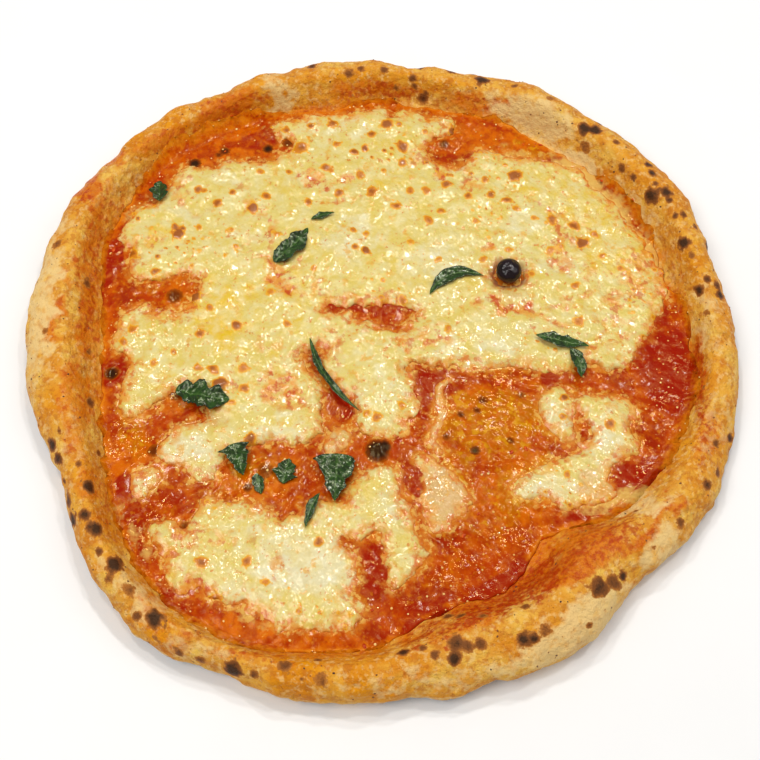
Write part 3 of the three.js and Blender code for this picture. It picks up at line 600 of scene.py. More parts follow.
class Finish:
    """One material while it is being put together."""

    def __init__(self, name):
        self.material = bpy.data.materials.new(name)
        self.material.use_nodes = True
        self.tree = self.material.node_tree
        self.tree.nodes.clear()
        self.place = add_node(self.tree, "ShaderNodeTexCoord").outputs["Object"]
        self.masks = 0

    def layer(self, name):
        """A layer of the mesh, from 0 to 1."""
        return add_node(self.tree, "ShaderNodeAttribute", attribute_name=name).outputs["Fac"]

    def mottle(self, size, level, softness):
        """A new random mask: more is covered the lower the level."""
        self.masks += 1
        values = {"Place": self.place, "Lump size": size * MM, "Level": level, "Softness": softness}
        values["Seed"] = MASK_STEP * self.masks
        return place_group(self.tree, mottle_group(), values)["Mask"]

    def times(self, a, b):
        return math_node(self.tree, "MULTIPLY", a, b, clamp=True)

    def both(self, layer, mask, spread=0.5):
        """A layer broken up by a mask: full where the layer is strong, speckled where it is weak."""
        missing = math_node(self.tree, "SUBTRACT", mask, 1.0)
        reach = math_node(self.tree, "MULTIPLY_ADD", layer, 1.0 + spread, missing)
        return math_node(self.tree, "MAXIMUM", reach, 0.0, clamp=True)

    def cover(self, amount, below, above):
        return tint(self.tree, amount, below, above)

    def coats(self, base, *coats):
        """Coats of colour laid one over the other, each broken up by a random mask of its own.

        A coat is the layer it follows or None, the mask's lump size, level and softness, how far it spreads
        along the layer, how much it covers, and its colour.
        """
        for layer, size, level, softness, spread, amount, colour in coats:
            mask = self.mottle(size, level, softness)
            if layer:
                mask = self.both(self.layer(layer), mask, spread)
            base = self.cover(self.times(mask, amount), base, colour)
        return base

    def grey(self, mask, low, high):
        """A grey between two values, by a mask: a roughness, or a plain colour."""
        return self.cover(mask, (low, low, low), (high, high, high))

    def scorch(self, base, amount, halo, ring, middle, breakup):
        """Baked spots over a colour, in three tones, their edges broken up by so much."""
        values = {"Base": base, "Amount": amount, "Place": self.place, "Breakup": breakup}
        for name, colour in (("Halo", halo), ("Ring", ring), ("Middle", middle)):
            values[name] = (*colour[:3], 1)
        return place_group(self.tree, scorch_group(), values)

    def bump(self, lump, grain, share, depth, strength):
        """Fine relief: sizes of its lumps and grains, the grains' share, its depth and its strength."""
        values = {"Place": self.place, "Lump size": lump * MM, "Grain size": grain * MM, "Grain share": share}
        height = place_group(self.tree, skin_group(), values)["Height"]
        inputs = {"Height": height, "Distance": depth * MM, "Strength": strength}
        return add_node(self.tree, "ShaderNodeBump", inputs).outputs["Normal"]

    def close(self, color, roughness, normal, **constants):
        """The finished material; names of constants are the shader's, with _ for each space."""
        inputs = {"Base Color": color, "Roughness": roughness, "Normal": normal}
        shader = add_node(self.tree, "ShaderNodeBsdfPrincipled", inputs)
        for name, value in constants.items():
            shader.inputs[name.replace("_", " ")].default_value = value
        out = self.tree.nodes.new("ShaderNodeOutputMaterial")
        self.tree.links.new(shader.outputs["BSDF"], out.inputs["Surface"])
        return self.material


# ---- Geometry node trees ----------------------------------------------------------------------------------

# Brings the usual spread of a noise node, from its middle, to about -1 to 1.
NOISE_NODE_GAIN = 4.0

# The fine relief of the dough and of the cheese, in metres.
RELIEF_INPUTS = ("Broad size", "Broad height", "Fine size", "Fine height", "Seed")
DOUGH_RELIEF = dict(zip(RELIEF_INPUTS, (0.005, 0.0003, 0.0016, 0.00012, 3)))
CHEESE_RELIEF = dict(zip(RELIEF_INPUTS, (0.006, 0.0003, 0.0022, 0.00014, 8)))

# What is strewn: inputs of the scatter tree apart from its density and seed.
SCATTER_INPUTS = ("Smallest", "Largest", "Flatness", "Length", "Roundness", "Unevenness")
OIL_SHAPE = dict(zip(SCATTER_INPUTS, (0.0002, 0.0006, 0.5, 1.1, 2, 0.05)))
PULP_SHAPE = dict(zip(SCATTER_INPUTS, (0.0003, 0.0009, 0.3, 1.6, 2, 0.25)))
CRUMB_SHAPE = dict(zip(SCATTER_INPUTS, (0.0002, 0.0005, 0.6, 1.3, 1, 0.3)))


def run_tree(piece, tree, values, material):
    """Runs a geometry tree on a piece and keeps its result as a plain mesh."""
    modifier = piece.modifiers.new(tree.name, "NODES")
    modifier.node_group = tree
    values = {**values, "Finish": material}
    for item in tree.interface.items_tree:
        if item.in_out == "INPUT" and item.name in values:
            modifier[item.identifier] = values[item.name]
    graph = bpy.context.evaluated_depsgraph_get()
    made = piece.evaluated_get(graph)
    mesh = bpy.data.meshes.new_from_object(made, preserve_all_data_layers=True, depsgraph=graph)
    piece.modifiers.remove(modifier)
    piece.data = mesh
    if not len(mesh.polygons):
        raise RuntimeError(f"{piece.name} came out empty")
    return piece


def end_tree(tree, geometry, start, end):
    """The last nodes of every tree: real meshes, with their material."""
    real = add_node(tree, "GeometryNodeRealizeInstances", {"Geometry": geometry})
    inputs = {"Geometry": real.outputs["Geometry"], "Material": start.outputs["Finish"]}
    coated = add_node(tree, "GeometryNodeSetMaterial", inputs)
    tree.links.new(coated.outputs["Geometry"], end.inputs["Geometry"])


def push_out(tree, geometry, distance):
    """Moves every point of a surface along its normal."""
    normal = add_node(tree, "GeometryNodeInputNormal").outputs["Normal"]
    offset = add_node(tree, "ShaderNodeVectorMath", {0: normal, "Scale": distance}, operation="SCALE")
    inputs = {"Geometry": geometry, "Offset": offset.outputs["Vector"]}
    return add_node(tree, "GeometryNodeSetPosition", inputs).outputs["Geometry"]


def surface_noise(tree, seed, scale):
    """Noise from about -1 to 1 over a surface, with so many lumps to the metre."""
    inputs = {"W": seed, "Scale": scale, "Detail": 2.0}
    grain = add_node(tree, "ShaderNodeTexNoise", inputs, noise_dimensions="4D")
    centred = math_node(tree, "SUBTRACT", grain.outputs["Fac"], 0.5)
    return math_node(tree, "MULTIPLY", centred, NOISE_NODE_GAIN)


@made_once("Pizza Relief")
def relief_tree(name):
    """Raises and lowers a surface along its normals by broad and fine noise, as its free layer lets it."""
    sockets = [
        ("Geometry", "NodeSocketGeometry", None),
        ("Broad size", "NodeSocketFloat", 0.010),
        ("Broad height", "NodeSocketFloat", 0.0005),
        ("Fine size", "NodeSocketFloat", 0.003),
        ("Fine height", "NodeSocketFloat", 0.0002),
        ("Seed", "NodeSocketInt", 1),
        ("Finish", "NodeSocketMaterial", None),
    ]
    tree, start, end = open_group(name, "GeometryNodeTree", sockets, [("Geometry", "NodeSocketGeometry")])
    free = add_node(tree, "GeometryNodeInputNamedAttribute", {"Name": "free"}, data_type="FLOAT")
    heights = []
    for kind in ("Broad", "Fine"):
        scale = math_node(tree, "DIVIDE", 1.0, start.outputs[kind + " size"])
        grain = surface_noise(tree, start.outputs["Seed"], scale)
        heights.append(math_node(tree, "MULTIPLY", grain, start.outputs[kind + " height"]))
    move = math_node(tree, "MULTIPLY", math_node(tree, "ADD", *heights), free.outputs["Attribute"])
    end_tree(tree, push_out(tree, start.outputs["Geometry"], move), start, end)
    return tree


@made_once("Pizza Scatter")
def scatter_tree(name):
    """Strews small uneven lumps over a surface, thickly where its strew layer is high."""
    sockets = [
        ("Geometry", "NodeSocketGeometry", None),
        ("Per square metre", "NodeSocketFloat", 10000.0),
        ("Smallest", "NodeSocketFloat", 0.0003),
        ("Largest", "NodeSocketFloat", 0.0009),
        ("Flatness", "NodeSocketFloat", 0.5),
        ("Length", "NodeSocketFloat", 1.0),
        ("Roundness", "NodeSocketInt", 2),
        ("Unevenness", "NodeSocketFloat", 0.2),
        ("Seed", "NodeSocketInt", 1),
        ("Finish", "NodeSocketMaterial", None),
    ]
    tree, start, end = open_group(name, "GeometryNodeTree", sockets, [("Geometry", "NodeSocketGeometry")])
    strew = add_node(tree, "GeometryNodeInputNamedAttribute", {"Name": "strew"}, data_type="FLOAT")
    density = math_node(tree, "MULTIPLY", strew.outputs["Attribute"], start.outputs["Per square metre"])
    scattered = add_node(
        tree,
        "GeometryNodeDistributePointsOnFaces",
        {"Mesh": start.outputs["Geometry"], "Density": density, "Seed": start.outputs["Seed"]},
    )
    lump = add_node(
        tree, "GeometryNodeMeshIcoSphere", {"Radius": 1.0, "Subdivisions": start.outputs["Roundness"]}
    )
    turn = add_node(
        tree,
        "FunctionNodeRandomValue",
        {"Max": (0.0, 0.0, math.tau), "Seed": start.outputs["Seed"]},
        data_type="FLOAT_VECTOR",
    )
    turned = add_node(
        tree,
        "FunctionNodeRotateRotation",
        {"Rotation": scattered.outputs["Rotation"], "Rotate By": turn.outputs["Value"]},
        rotation_space="LOCAL",
    )
    size = add_node(
        tree,
        "FunctionNodeRandomValue",
        {2: start.outputs["Smallest"], 3: start.outputs["Largest"], "Seed": start.outputs["Seed"]},
        data_type="FLOAT",
    )
    shape = add_node(
        tree, "ShaderNodeCombineXYZ", {"X": start.outputs["Length"], "Y": 1.0, "Z": start.outputs["Flatness"]}
    )
    inputs = {0: shape.outputs["Vector"], "Scale": size.outputs[1]}
    scaled = add_node(tree, "ShaderNodeVectorMath", inputs, operation="SCALE")
    placed = add_node(
        tree,
        "GeometryNodeInstanceOnPoints",
        {
            "Points": scattered.outputs["Points"],
            "Instance": lump.outputs["Mesh"],
            "Rotation": turned.outputs["Rotation"],
            "Scale": scaled.outputs["Vector"],
        },
    )
    real = add_node(tree, "GeometryNodeRealizeInstances", {"Geometry": placed.outputs["Instances"]})
    bulge = surface_noise(tree, start.outputs["Seed"], FINEST_GRAIN)
    for factor in ("Unevenness", "Largest"):
        bulge = math_node(tree, "MULTIPLY", bulge, start.outputs[factor])
    uneven = push_out(tree, real.outputs["Geometry"], bulge)
    smooth = add_node(tree, "GeometryNodeSetShadeSmooth", {"Geometry": uneven})
    end_tree(tree, smooth.outputs["Geometry"], start, end)
    return tree


# ---- Dough ------------------------------------------------------------------------------------------------

# Swellings on the rim: x, y, width, height. Negative ones are hollows.
RIM_BULGES = [
    (-107, 134, 34, 2.5), (-126, 118, 22, 1.5), (-78, 140, 34, -2.0), (-52, 150, 16, 2.0),
    (-30, 158, 24, 1.2), (80, 140, 34, 2.0), (96, 130, 20, -1.5), (112, 110, 26, 1.5), (134, 84, 22, 1.2),
    (20, 150, 26, -1.0), (0, 162, 22, 1.0), (150, 40, 26, 1.0), (150, 8, 24, 1.4), (146, -30, 26, 1.2),
    (128, -78, 26, 1.5), (108, -95, 22, 1.4), (88, -120, 30, 2.0), (60, -132, 26, 1.0),
    (74, -104, 30, -1.8), (30, -142, 24, 1.2), (0, -148, 26, 1.4), (-30, -148, 22, 1.0),
    (-60, -146, 20, 1.2), (-90, -132, 22, 1.4), (-110, -108, 20, 1.0), (-126, -80, 24, 1.4),
    (-134, -40, 24, 1.2), (-146, -5, 26, 1.4), (-158, 30, 30, 1.6), (-150, 70, 30, 1.4),
]

# Points round each ring of the dough, and rings on the bed, up to the crest, over it, under it and below.
RIM_COLUMNS = 900
BED_ROWS = 8
INNER_ROWS = 38
OUTER_ROWS = 34
UNDER_ROWS = 14
FLOOR_ROWS = 4

# Within this radius, in millimetres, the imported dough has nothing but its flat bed.
BED_RADIUS = 60

# The rings on the bed crowd towards the rim by this power.
BED_CROWDING = 0.6

# Patterns on the dough. The folds are measured in a scale of turns round the rim, steps across it and height.
FOLD_SCALE = (24, 1.3, 0.05)
FOLDS = (1.6, 0, 2)
LUMPS = (15, 3, 3)
SPECKLE = (3.5, 40, 3)
BROAD = (18, 41, 3)
FINE_SCORCH = (4.5, 43, 2)
UNDER_SCORCH = (12, 44, 3)

# How fast a swelling fades outward, and how far back, in radians, the inner slope swells.
SWELL_SHARPNESS = 1.6
LEAN_BACK = -0.4

# How far over the rim marks are seen, tomato soaks in and oil stains, and where scorching underneath begins.
SEEN_TO = 1.9
SOAKED_TO = 1.3
STAINED_TO = 1.95
UNDER_FROM = 2.0

# Small blisters on the rim: one to a cell, its smallest radius and how much larger it can be, and its height
# next to its radius.
BLISTER_CELL = 6.5
BLISTER_RADIUS = (1.2, 3.2)
BLISTER_RISE = 0.16
BLISTER_FULLNESS = 0.8


class Rim:
    """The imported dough's section at each angle: foot, crest, widest point and ground, in millimetres."""

    def __init__(self):
        points, _ = node_points("dough")
        low, high = points.min(axis=0), points.max(axis=0)
        floor = points[points[:, 2] < low[2] + LEVEL_GAP, :2]
        middle = ((low + high) / 2)[:2]
        self.pole = floor[np.argmin(np.hypot(*(floor - middle).T))]
        flat = points[:, :2] - self.pole
        radius = np.hypot(flat[:, 0], flat[:, 1])
        turn = np.degrees(np.arctan2(flat[:, 1], flat[:, 0])) % 360
        on_bed = radius < BED_RADIUS
        self.base = float(np.median(points[on_bed & (points[:, 2] > low[2] + 1), 2]))
        rows = []
        for column in np.unique(np.round(turn[~on_bed], 1)):
            ring = (np.abs(turn - column) < 0.2) & ~on_bed
            r, z = radius[ring], points[ring, 2]
            widest, crest = np.argmax(r), np.argmax(z)
            foot = r[np.abs(z - self.base) < LEVEL_GAP].max(initial=0)
            ground = r[np.round(z, 2) < LEVEL_GAP].max(initial=0)
            if foot and ground:
                rows.append((column, foot, r[crest], z[crest], r[widest], z[widest], ground))
        table = np.array(rows)
        angles = np.arange(RIM_COLUMNS) * 360 / RIM_COLUMNS
        self.angles = np.radians(angles)
        self.foot, self.crest, self.top, self.outer, self.widest, self.ground = (
            np.interp(angles, table[:, 0], table[:, k], period=360) for k in range(1, 7)
        )


def dough_rows(rim):
    """Radius, height and place across the rim of each ring.

    The place is -1 in the middle, 0 at the rim's foot, 1 on its crest, 2 where it is widest, 3 on the floor.
    """
    rows = []
    for i in range(1, BED_ROWS + 1):
        share = i / BED_ROWS
        rows.append((rim.foot * share**BED_CROWDING, np.full(RIM_COLUMNS, rim.base), share - 1))
    for i in range(1, INNER_ROWS + 1):
        share = i / INNER_ROWS
        rise = math.sin(share * math.pi / 2) ** 2
        radius = rim.foot + share * (rim.crest - rim.foot)
        rows.append((radius, rim.base + rise * (rim.top - rim.base), share))
    for i in range(1, OUTER_ROWS + 1):
        turn = i / OUTER_ROWS * math.pi / 2
        radius = rim.crest + (rim.outer - rim.crest) * math.sin(turn)
        rows.append((radius, rim.widest + (rim.top - rim.widest) * math.cos(turn), 1 + i / OUTER_ROWS))
    for i in range(1, UNDER_ROWS + 1):
        turn = i / UNDER_ROWS * math.pi / 2
        radius = rim.ground + (rim.outer - rim.ground) * math.cos(turn)
        rows.append((radius, rim.widest * (1 - math.sin(turn)), 2 + i / UNDER_ROWS))
    for i in range(1, FLOOR_ROWS + 1):
        rows.append((rim.ground * (1 - i / (FLOOR_ROWS + 1)), np.zeros(RIM_COLUMNS), 3 + i / FLOOR_ROWS))
    return rows


def dough_mesh(rim, settings):
    """The dough's points, faces and layers."""
    rows = dough_rows(rim)
    cos, sin = np.cos(rim.angles), np.sin(rim.angles)
    points = np.concatenate(
        [np.stack([rim.pole[0] + r * cos, rim.pole[1] + r * sin, z], axis=1) for r, z, _ in rows]
    )
    across = np.repeat([share for _, _, share in rows], RIM_COLUMNS)
    turn = np.tile(rim.angles, len(rows))

    # One point in the middle above and one below close the dough.
    points = np.concatenate([points, [[*rim.pole, rim.base], [*rim.pole, 0.0]]])
    across = np.concatenate([across, [-1, 4]])
    turn = np.concatenate([turn, [0, 0]])

    # The rim's section is round, so it swells outward and up; its foot and the floor under it stay in place.
    outward = np.stack([np.cos(turn), np.sin(turn)], axis=1)
    lean = np.clip((across - 0.5) * math.pi / 3, LEAN_BACK, math.pi / 2)
    away = np.concatenate([outward * np.sin(lean)[:, None], np.cos(lean)[:, None]], axis=1)
    on_rim = smooth_step(0.0, 0.45, across) * smooth_step(3.0, 2.2, across)
    rolls = np.stack([turn, across, points[:, 2]], axis=1) * FOLD_SCALE
    folds = pattern(rolls, settings.seed, FOLDS) * settings.fold_depth / MM
    lumps = pattern(points, settings.seed, LUMPS) * settings.lump_height / MM
    seen = across < SEEN_TO
    swell = np.zeros(len(points))
    for (_, _, width, height), spot in landed(RIM_BULGES, points[seen]):
        near = np.linalg.norm(points - spot, axis=1) / (width / 2)
        swell += height * np.exp(-(near**2) * SWELL_SHARPNESS)
    move = on_rim * (folds + lumps + swell + blister_heights(points, settings))
    points = points + away * move[:, None]
    points[:, 2] = np.maximum(points[:, 2], 0)
    layers = dough_layers(points, across, on_rim, seen, settings)
    return points, ring_faces(len(rows), RIM_COLUMNS, len(points)), layers


def blister_heights(points, settings):
    """Small round blisters all over the rim, each of its own size."""
    grid = np.floor(points / BLISTER_CELL)
    smallest, larger = BLISTER_RADIUS
    raised = np.zeros(len(points))
    for corner in range(27):
        step = np.array([corner % 3 - 1, corner // 3 % 3 - 1, corner // 9 - 1])
        home = grid + step
        shift = np.stack([lattice(home, settings.seed + 20 + k) for k in range(3)], axis=1)
        radius = smallest + larger * lattice(home, settings.seed + 30) ** 2
        near = np.linalg.norm(points - (home + shift) * BLISTER_CELL, axis=1) / radius
        rise = np.clip(1 - near**2, 0, 1) ** BLISTER_FULLNESS * radius * BLISTER_RISE
        raised = np.maximum(raised, rise)
    return raised


def dough_layers(points, across, on_rim, seen, settings):
    """Where the dough is scorched, stained, floury (with painted light that makes the right inner slope
    paler), golden or soaked, from 0 to 1.
    """
    speckle, broad = (pattern(points, settings.seed, kind) for kind in (SPECKLE, BROAD))
    scorch = spots(RIM_SCORCH, points, seen, 0.35, settings.seed + 42)

    # Specks all over the rim, and broad scorching underneath, where it lay on the oven's floor.
    specks = smooth_step(1.05, 1.5, pattern(points, settings.seed, FINE_SCORCH) + 0.35 * broad)
    low = smooth_step(1.9, 2.6, across)
    under = smooth_step(0.5, 1.3, pattern(points, settings.seed, UNDER_SCORCH) + low * 1.1)
    scorch = np.maximum(scorch, 0.5 * specks * on_rim)
    scorch = np.maximum(scorch, np.where(across > UNDER_FROM, 0.75 * under, 0))

    # Oil seeped up the inner slope, but hardly where flour lies, nor where the right inner slope is painted
    # paler as painted light. The underside is pale and floury.
    flour_and_light = patches(RIM_FLOUR_AND_LIGHT, points, 6, settings.seed + 46)
    inner = smooth_step(0.75, 0.1, across) * smooth_step(-0.3, 0.0, across)
    seeped = inner * (0.65 + 0.35 * broad) * (1 - 0.9 * flour_and_light)
    stain = np.maximum(patches(RIM_STAIN, points, 5, settings.seed + 45), seeped)
    stain = np.where(across > STAINED_TO, 0.15 * stain, stain)
    flour_and_light = np.where(across > STAINED_TO, 0.5 + 0.4 * broad, flour_and_light)
    gold = np.maximum(patches(RIM_GOLD, points, 6, settings.seed + 47), 0.42 + 0.8 * broad)
    red = patches(RIM_RED, points, 5, settings.seed + 48)
    return {
        "scorch": scorch,
        "stain": np.clip(stain, 0, 1),
        "flour_and_light": np.clip(flour_and_light, 0, 1),
        "gold": np.clip(gold + 0.12 * speckle, 0, 1),
        "red": np.where(across > SOAKED_TO, 0, red),
        "free": on_rim,
        "strew": np.where(across < UNDER_FROM, on_rim, 0),
    }


def dough_finish(settings):
    look = Finish("Baked Dough")
    base = look.cover(look.layer("gold"), settings.pale_color, settings.gold_color)
    base = look.coats(
        base,
        (None, 9, 0.5, 0.12, 0, 0.6, paint(206, 120, 12)),
        (None, 3.2, 0.55, 0.08, 0, 0.55, paint(184, 96, 18)),
        (None, 2.6, 0.58, 0.08, 0, 0.5, paint(240, 204, 134)),
    )
    wet = look.both(look.layer("stain"), look.mottle(6, 0.5, 0.25), 0.6)
    base = look.cover(look.times(wet, 0.88), base, settings.stain_color)
    base = look.coats(
        base,
        ("stain", 3.0, 0.56, 0.1, 0.25, 0.8, paint(184, 66, 6)),
        ("red", 2.4, 0.5, 0.12, 0.25, 0.85, paint(172, 44, 0)),
        # Flour, partly painted light: on the right inner slope this coat paints the slope paler, as if lit.
        ("flour_and_light", 4, 0.48, 0.2, 0.5, 0.85, settings.flour_and_light_color),
        (None, 1.3, 0.66, 0.04, 0, 0.6, paint(140, 74, 14)),
    )
    baked = look.scorch(
        base, look.layer("scorch"), paint(172, 104, 38), paint(122, 68, 28), paint(62, 34, 18), breakup=0.6
    )
    normal = look.bump(2.4, 0.7, 0.4, 1.1, 0.9)
    shine = {"Specular_IOR_Level": 0.3, "Specular_Tint": (1, 0.8, 0.5, 1)}
    return look.close(baked["Color"], look.grey(wet, 0.6, 0.3), normal, **shine)


# ---- Sauce ------------------------------------------------------------------------------------------------

# Rings of the sauce's upper and lower side; each has as many points as a ring of the dough.
SAUCE_RINGS = 100
SAUCE_UNDER_RINGS = 6
SAUCE_CROWDING = 0.75

# Patterns of the sauce: its edge's broad and fine waves, on circles of these radii, about this share of the
# lap, then its lumps, its pulp and the unevenness of its film.
EDGE_CIRCLES = (60, 140)
EDGE_WAVES = (16, 0, 3)
EDGE_RIPPLES = (6, 12, 2)
LAP_SHARE = 1.1
SAUCE_LUMPS = (9, 1, 3)
SAUCE_PULP = (3, 2, 2)
FILM_GRAIN = (5, 3, 2)

# In millimetres: the film of sauce that laps up the rim, how uneven it is, how far in from the edge it thins
# and sinks, what still counts as the edge, how deep that sinks into the dough, how high the sauce rises
# against the cheese, how far its lower side stays in, how deep it is at most on the rim's slope, and the
# width of a raised ring.
FILM = 0.4
FILM_UNEVEN = 0.25
FILM_REACH = 6
SINK_REACH = 1.5
AT_EDGE = 0.01
EDGE_SINK = 0.2
CHEESE_RISE = 0.52
UNDER_INSET = 1
DEEPEST_ON_SLOPE = 1.5
RIDGE_WIDTH = 1.5

# Where the dough stands this much above its bed, in millimetres, the slope of the rim has begun.
SLOPE_START = 0.3

# How round a bubble is: 1 is a dome with an edge, more is flatter at the foot.
BUBBLE_FULLNESS = 1.1


def cheese_outline(name):
    """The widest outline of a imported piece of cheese, as stretches between pairs of points, and its box."""
    points, triangles = node_points(name)
    low, high = points.min(axis=0), points.max(axis=0)
    waist = np.unique(np.round(points[:, 2], 2))[1]
    at_waist = np.abs(points[:, 2] - waist) < LEVEL_GAP
    stretches = set()
    for a, b in ((0, 1), (1, 2), (2, 0)):
        for t in triangles[at_waist[triangles[:, a]] & at_waist[triangles[:, b]]]:
            ends = sorted([tuple(np.round(points[t[a], :2], 3)), tuple(np.round(points[t[b], :2], 3))])
            stretches.add(tuple(ends))
    return np.array(sorted(stretches)), low, high


def outline_distance(stretches, x, y):
    """Signed distance from an outline: negative inside it."""
    best = np.full(len(x), np.inf)
    inside = np.zeros(len(x), dtype=bool)
    for (ax, ay), (bx, by) in stretches:
        ux, uy = bx - ax, by - ay
        share = np.clip(((x - ax) * ux + (y - ay) * uy) / (ux * ux + uy * uy + 1e-12), 0, 1)
        best = np.minimum(best, (x - ax - share * ux) ** 2 + (y - ay - share * uy) ** 2)
        crosses = (ay > y) != (by > y)
        with np.errstate(divide="ignore", invalid="ignore"):
            inside ^= crosses & (x < ax + (y - ay) / (by - ay) * ux)
    return np.where(inside, -1, 1) * np.sqrt(best)


OUTLINES = {name: cheese_outline(name) for name in CHEESE_NODES}

# How ragged the narrow pieces' edges are, next to 1 for the others.
RAGGED = {
    "mozzarella_strand": 0.3,
    "mozzarella_left_bit": 0.6,
    "mozzarella_middle_bit": 0.6,
    "mozzarella_oval": 0.6,
}

# Where the cheese ran further out: x, y, width, height, turn in degrees, reach in millimetres.
CHEESE_REACH = [(9, 0, 34, 20, 0, 7), (-12, 8, 24, 10, 0, 2.5), (2, 12, 34, 7, -3, 4)]

# The cheese's ragged edge: depth, size, seed and octaves of each of its noises.
RAGGED_NOISES = ((1.9, 8.0, 71, 3), (1.0, 3.0, 72, 2))
REACH_SEED = 73

# No piece reaches further past its box than this, in millimetres, and beyond it any distance counts as far.
OUTLINE_MARGIN = 8
FAR = 99.0


def cheese_field(name, x, y):
    """Signed distance from one piece of cheese with its ragged edge: negative inside it."""
    place = flat_points(x, y)
    ragged = sum(depth * noise(place, *grain) for depth, *grain in RAGGED_NOISES)
    reach = patches(CHEESE_REACH, flat_points(x, y, MARK_LEVEL), 1, REACH_SEED)
    return outline_distance(OUTLINES[name][0], x, y) + RAGGED.get(name, 1.0) * ragged - reach


def cheese_distance(x, y):
    """Signed distance from all the cheese together."""
    best = np.full(len(x), FAR)
    for name, (_, low, high) in OUTLINES.items():
        (left, front, _), (right, back, _) = low - OUTLINE_MARGIN, high + OUTLINE_MARGIN
        near = (x > left) & (x < right) & (y > front) & (y < back)
        best[near] = np.minimum(best[near], cheese_field(name, x[near], y[near]))
    return best


def dough_surface(rim):
    """The radius and height of the finished dough at each angle, from its base up to its crest."""
    mesh = bpy.data.objects["baked_dough"].data
    points = np.empty(len(mesh.vertices) * 3)
    mesh.vertices.foreach_get("co", points)
    rows = BED_ROWS + INNER_ROWS
    points = (points / MM).reshape(-1, 3)[: rows * RIM_COLUMNS].reshape(rows, RIM_COLUMNS, 3)
    radius = np.hypot(points[..., 0] - rim.pole[0], points[..., 1] - rim.pole[1])
    return np.maximum.accumulate(radius, axis=0), points[..., 2]


def sauce_mesh(rim, settings):
    """The sauce's points, faces and layers."""
    turn = rim.angles
    foot = rim.foot
    circle = np.stack([np.cos(turn), np.sin(turn), np.zeros_like(turn)], axis=1)
    inner, outer = (circle * radius for radius in EDGE_CIRCLES)
    wander = pattern(inner, settings.seed, EDGE_WAVES) + 0.3 * pattern(outer, settings.seed, EDGE_RIPPLES)
    edge = foot + settings.lap / MM * (LAP_SHARE + wander)
    low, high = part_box("tomato_sauce")
    under, over = low[2] / MM, high[2] / MM
    radius = (np.linspace(1 / SAUCE_RINGS, 1, SAUCE_RINGS) ** SAUCE_CROWDING)[:, None] * edge
    dough_radius, dough_height = dough_surface(rim)
    slopes = zip(radius.T, dough_radius.T, dough_height.T)
    ground = np.stack([np.interp(*slope) for slope in slopes], axis=1).ravel()
    inward = (edge - radius).ravel()
    x = (rim.pole[0] + radius * np.cos(turn)).ravel()
    y = (rim.pole[1] + radius * np.sin(turn)).ravel()
    distance = cheese_distance(x, y)
    place = flat_points(x, y)
    open_sauce = smooth_step(0, 3, distance)
    lumps = 0.5 * pattern(place, settings.seed, SAUCE_LUMPS)
    lumps = lumps + 0.35 * pattern(place, settings.seed, SAUCE_PULP)
    z = over + open_sauce * lumps * settings.lump_height / MM
    z += CHEESE_RISE * smooth_step(-3, 0, distance) * smooth_step(9, 0, distance)
    seen_flat = sighted(flat_points(x, y, over))
    for bx, by, width, height in SAUCE_BUBBLES:
        near = np.hypot(seen_flat[:, 0] - bx, seen_flat[:, 1] - by) / (width / 2)
        z += height * np.clip(1 - near**2, 0, 1) ** BUBBLE_FULLNESS
    for bx, by, width, height in SAUCE_RIDGES:
        near = np.hypot(seen_flat[:, 0] - bx, seen_flat[:, 1] - by)
        z += height * np.exp(-(((near - width / 2) / RIDGE_WIDTH) ** 2))

    # On the rim's slope the sauce thins to a film that ends just inside the dough.
    film = FILM + FILM_UNEVEN * pattern(place, settings.seed, FILM_GRAIN)
    film = film * smooth_step(0, FILM_REACH, inward) - EDGE_SINK * smooth_step(SINK_REACH, 0, inward)
    filled = np.minimum(z, ground + DEEPEST_ON_SLOPE)
    z = np.where(ground > rim.base + SLOPE_START, np.maximum(filled, ground + film), z)
    z = np.where(inward < AT_EDGE, ground - EDGE_SINK, z)

    top = np.stack([x, y, z], axis=1)
    below = []
    for share in np.linspace(1, 0.1, SAUCE_UNDER_RINGS):
        r = share * (foot - UNDER_INSET)
        below.append(flat_points(rim.pole[0] + r * np.cos(turn), rim.pole[1] + r * np.sin(turn), under))
    points = np.concatenate([top, *below, [[*rim.pole, top[:RIM_COLUMNS, 2].mean()], [*rim.pole, under]]])
    count = len(points)
    seen = np.arange(count) < len(top)

    def on_top(values):
        return np.concatenate([values, np.zeros(count - len(top))])

    layers = {
        "scorch": spots(SAUCE_SCORCH, points, seen, 0.1, settings.seed + 5),
        "gold": patches(SAUCE_GOLD, points, 6, settings.seed + 6),
        "orange": patches(SAUCE_ORANGE, points, 6, settings.seed + 7),
        "deep": patches(SAUCE_DEEP, points, 4, settings.seed + 8),
        "milky": on_top(smooth_step(6, 0, distance)),
        "pale": patches(SAUCE_PALE, points, 4, settings.seed + 9),
        "lace": on_top(smooth_step(5, 0, distance)),
        "brim": on_top(smooth_step(7, 0.5, inward)),
        "verge": on_top(smooth_step(3.5, 0.3, inward)),
        "strew": on_top(smooth_step(0.5, 2.5, distance)),
    }
    return points, ring_faces(SAUCE_RINGS + SAUCE_UNDER_RINGS, RIM_COLUMNS, count), layers


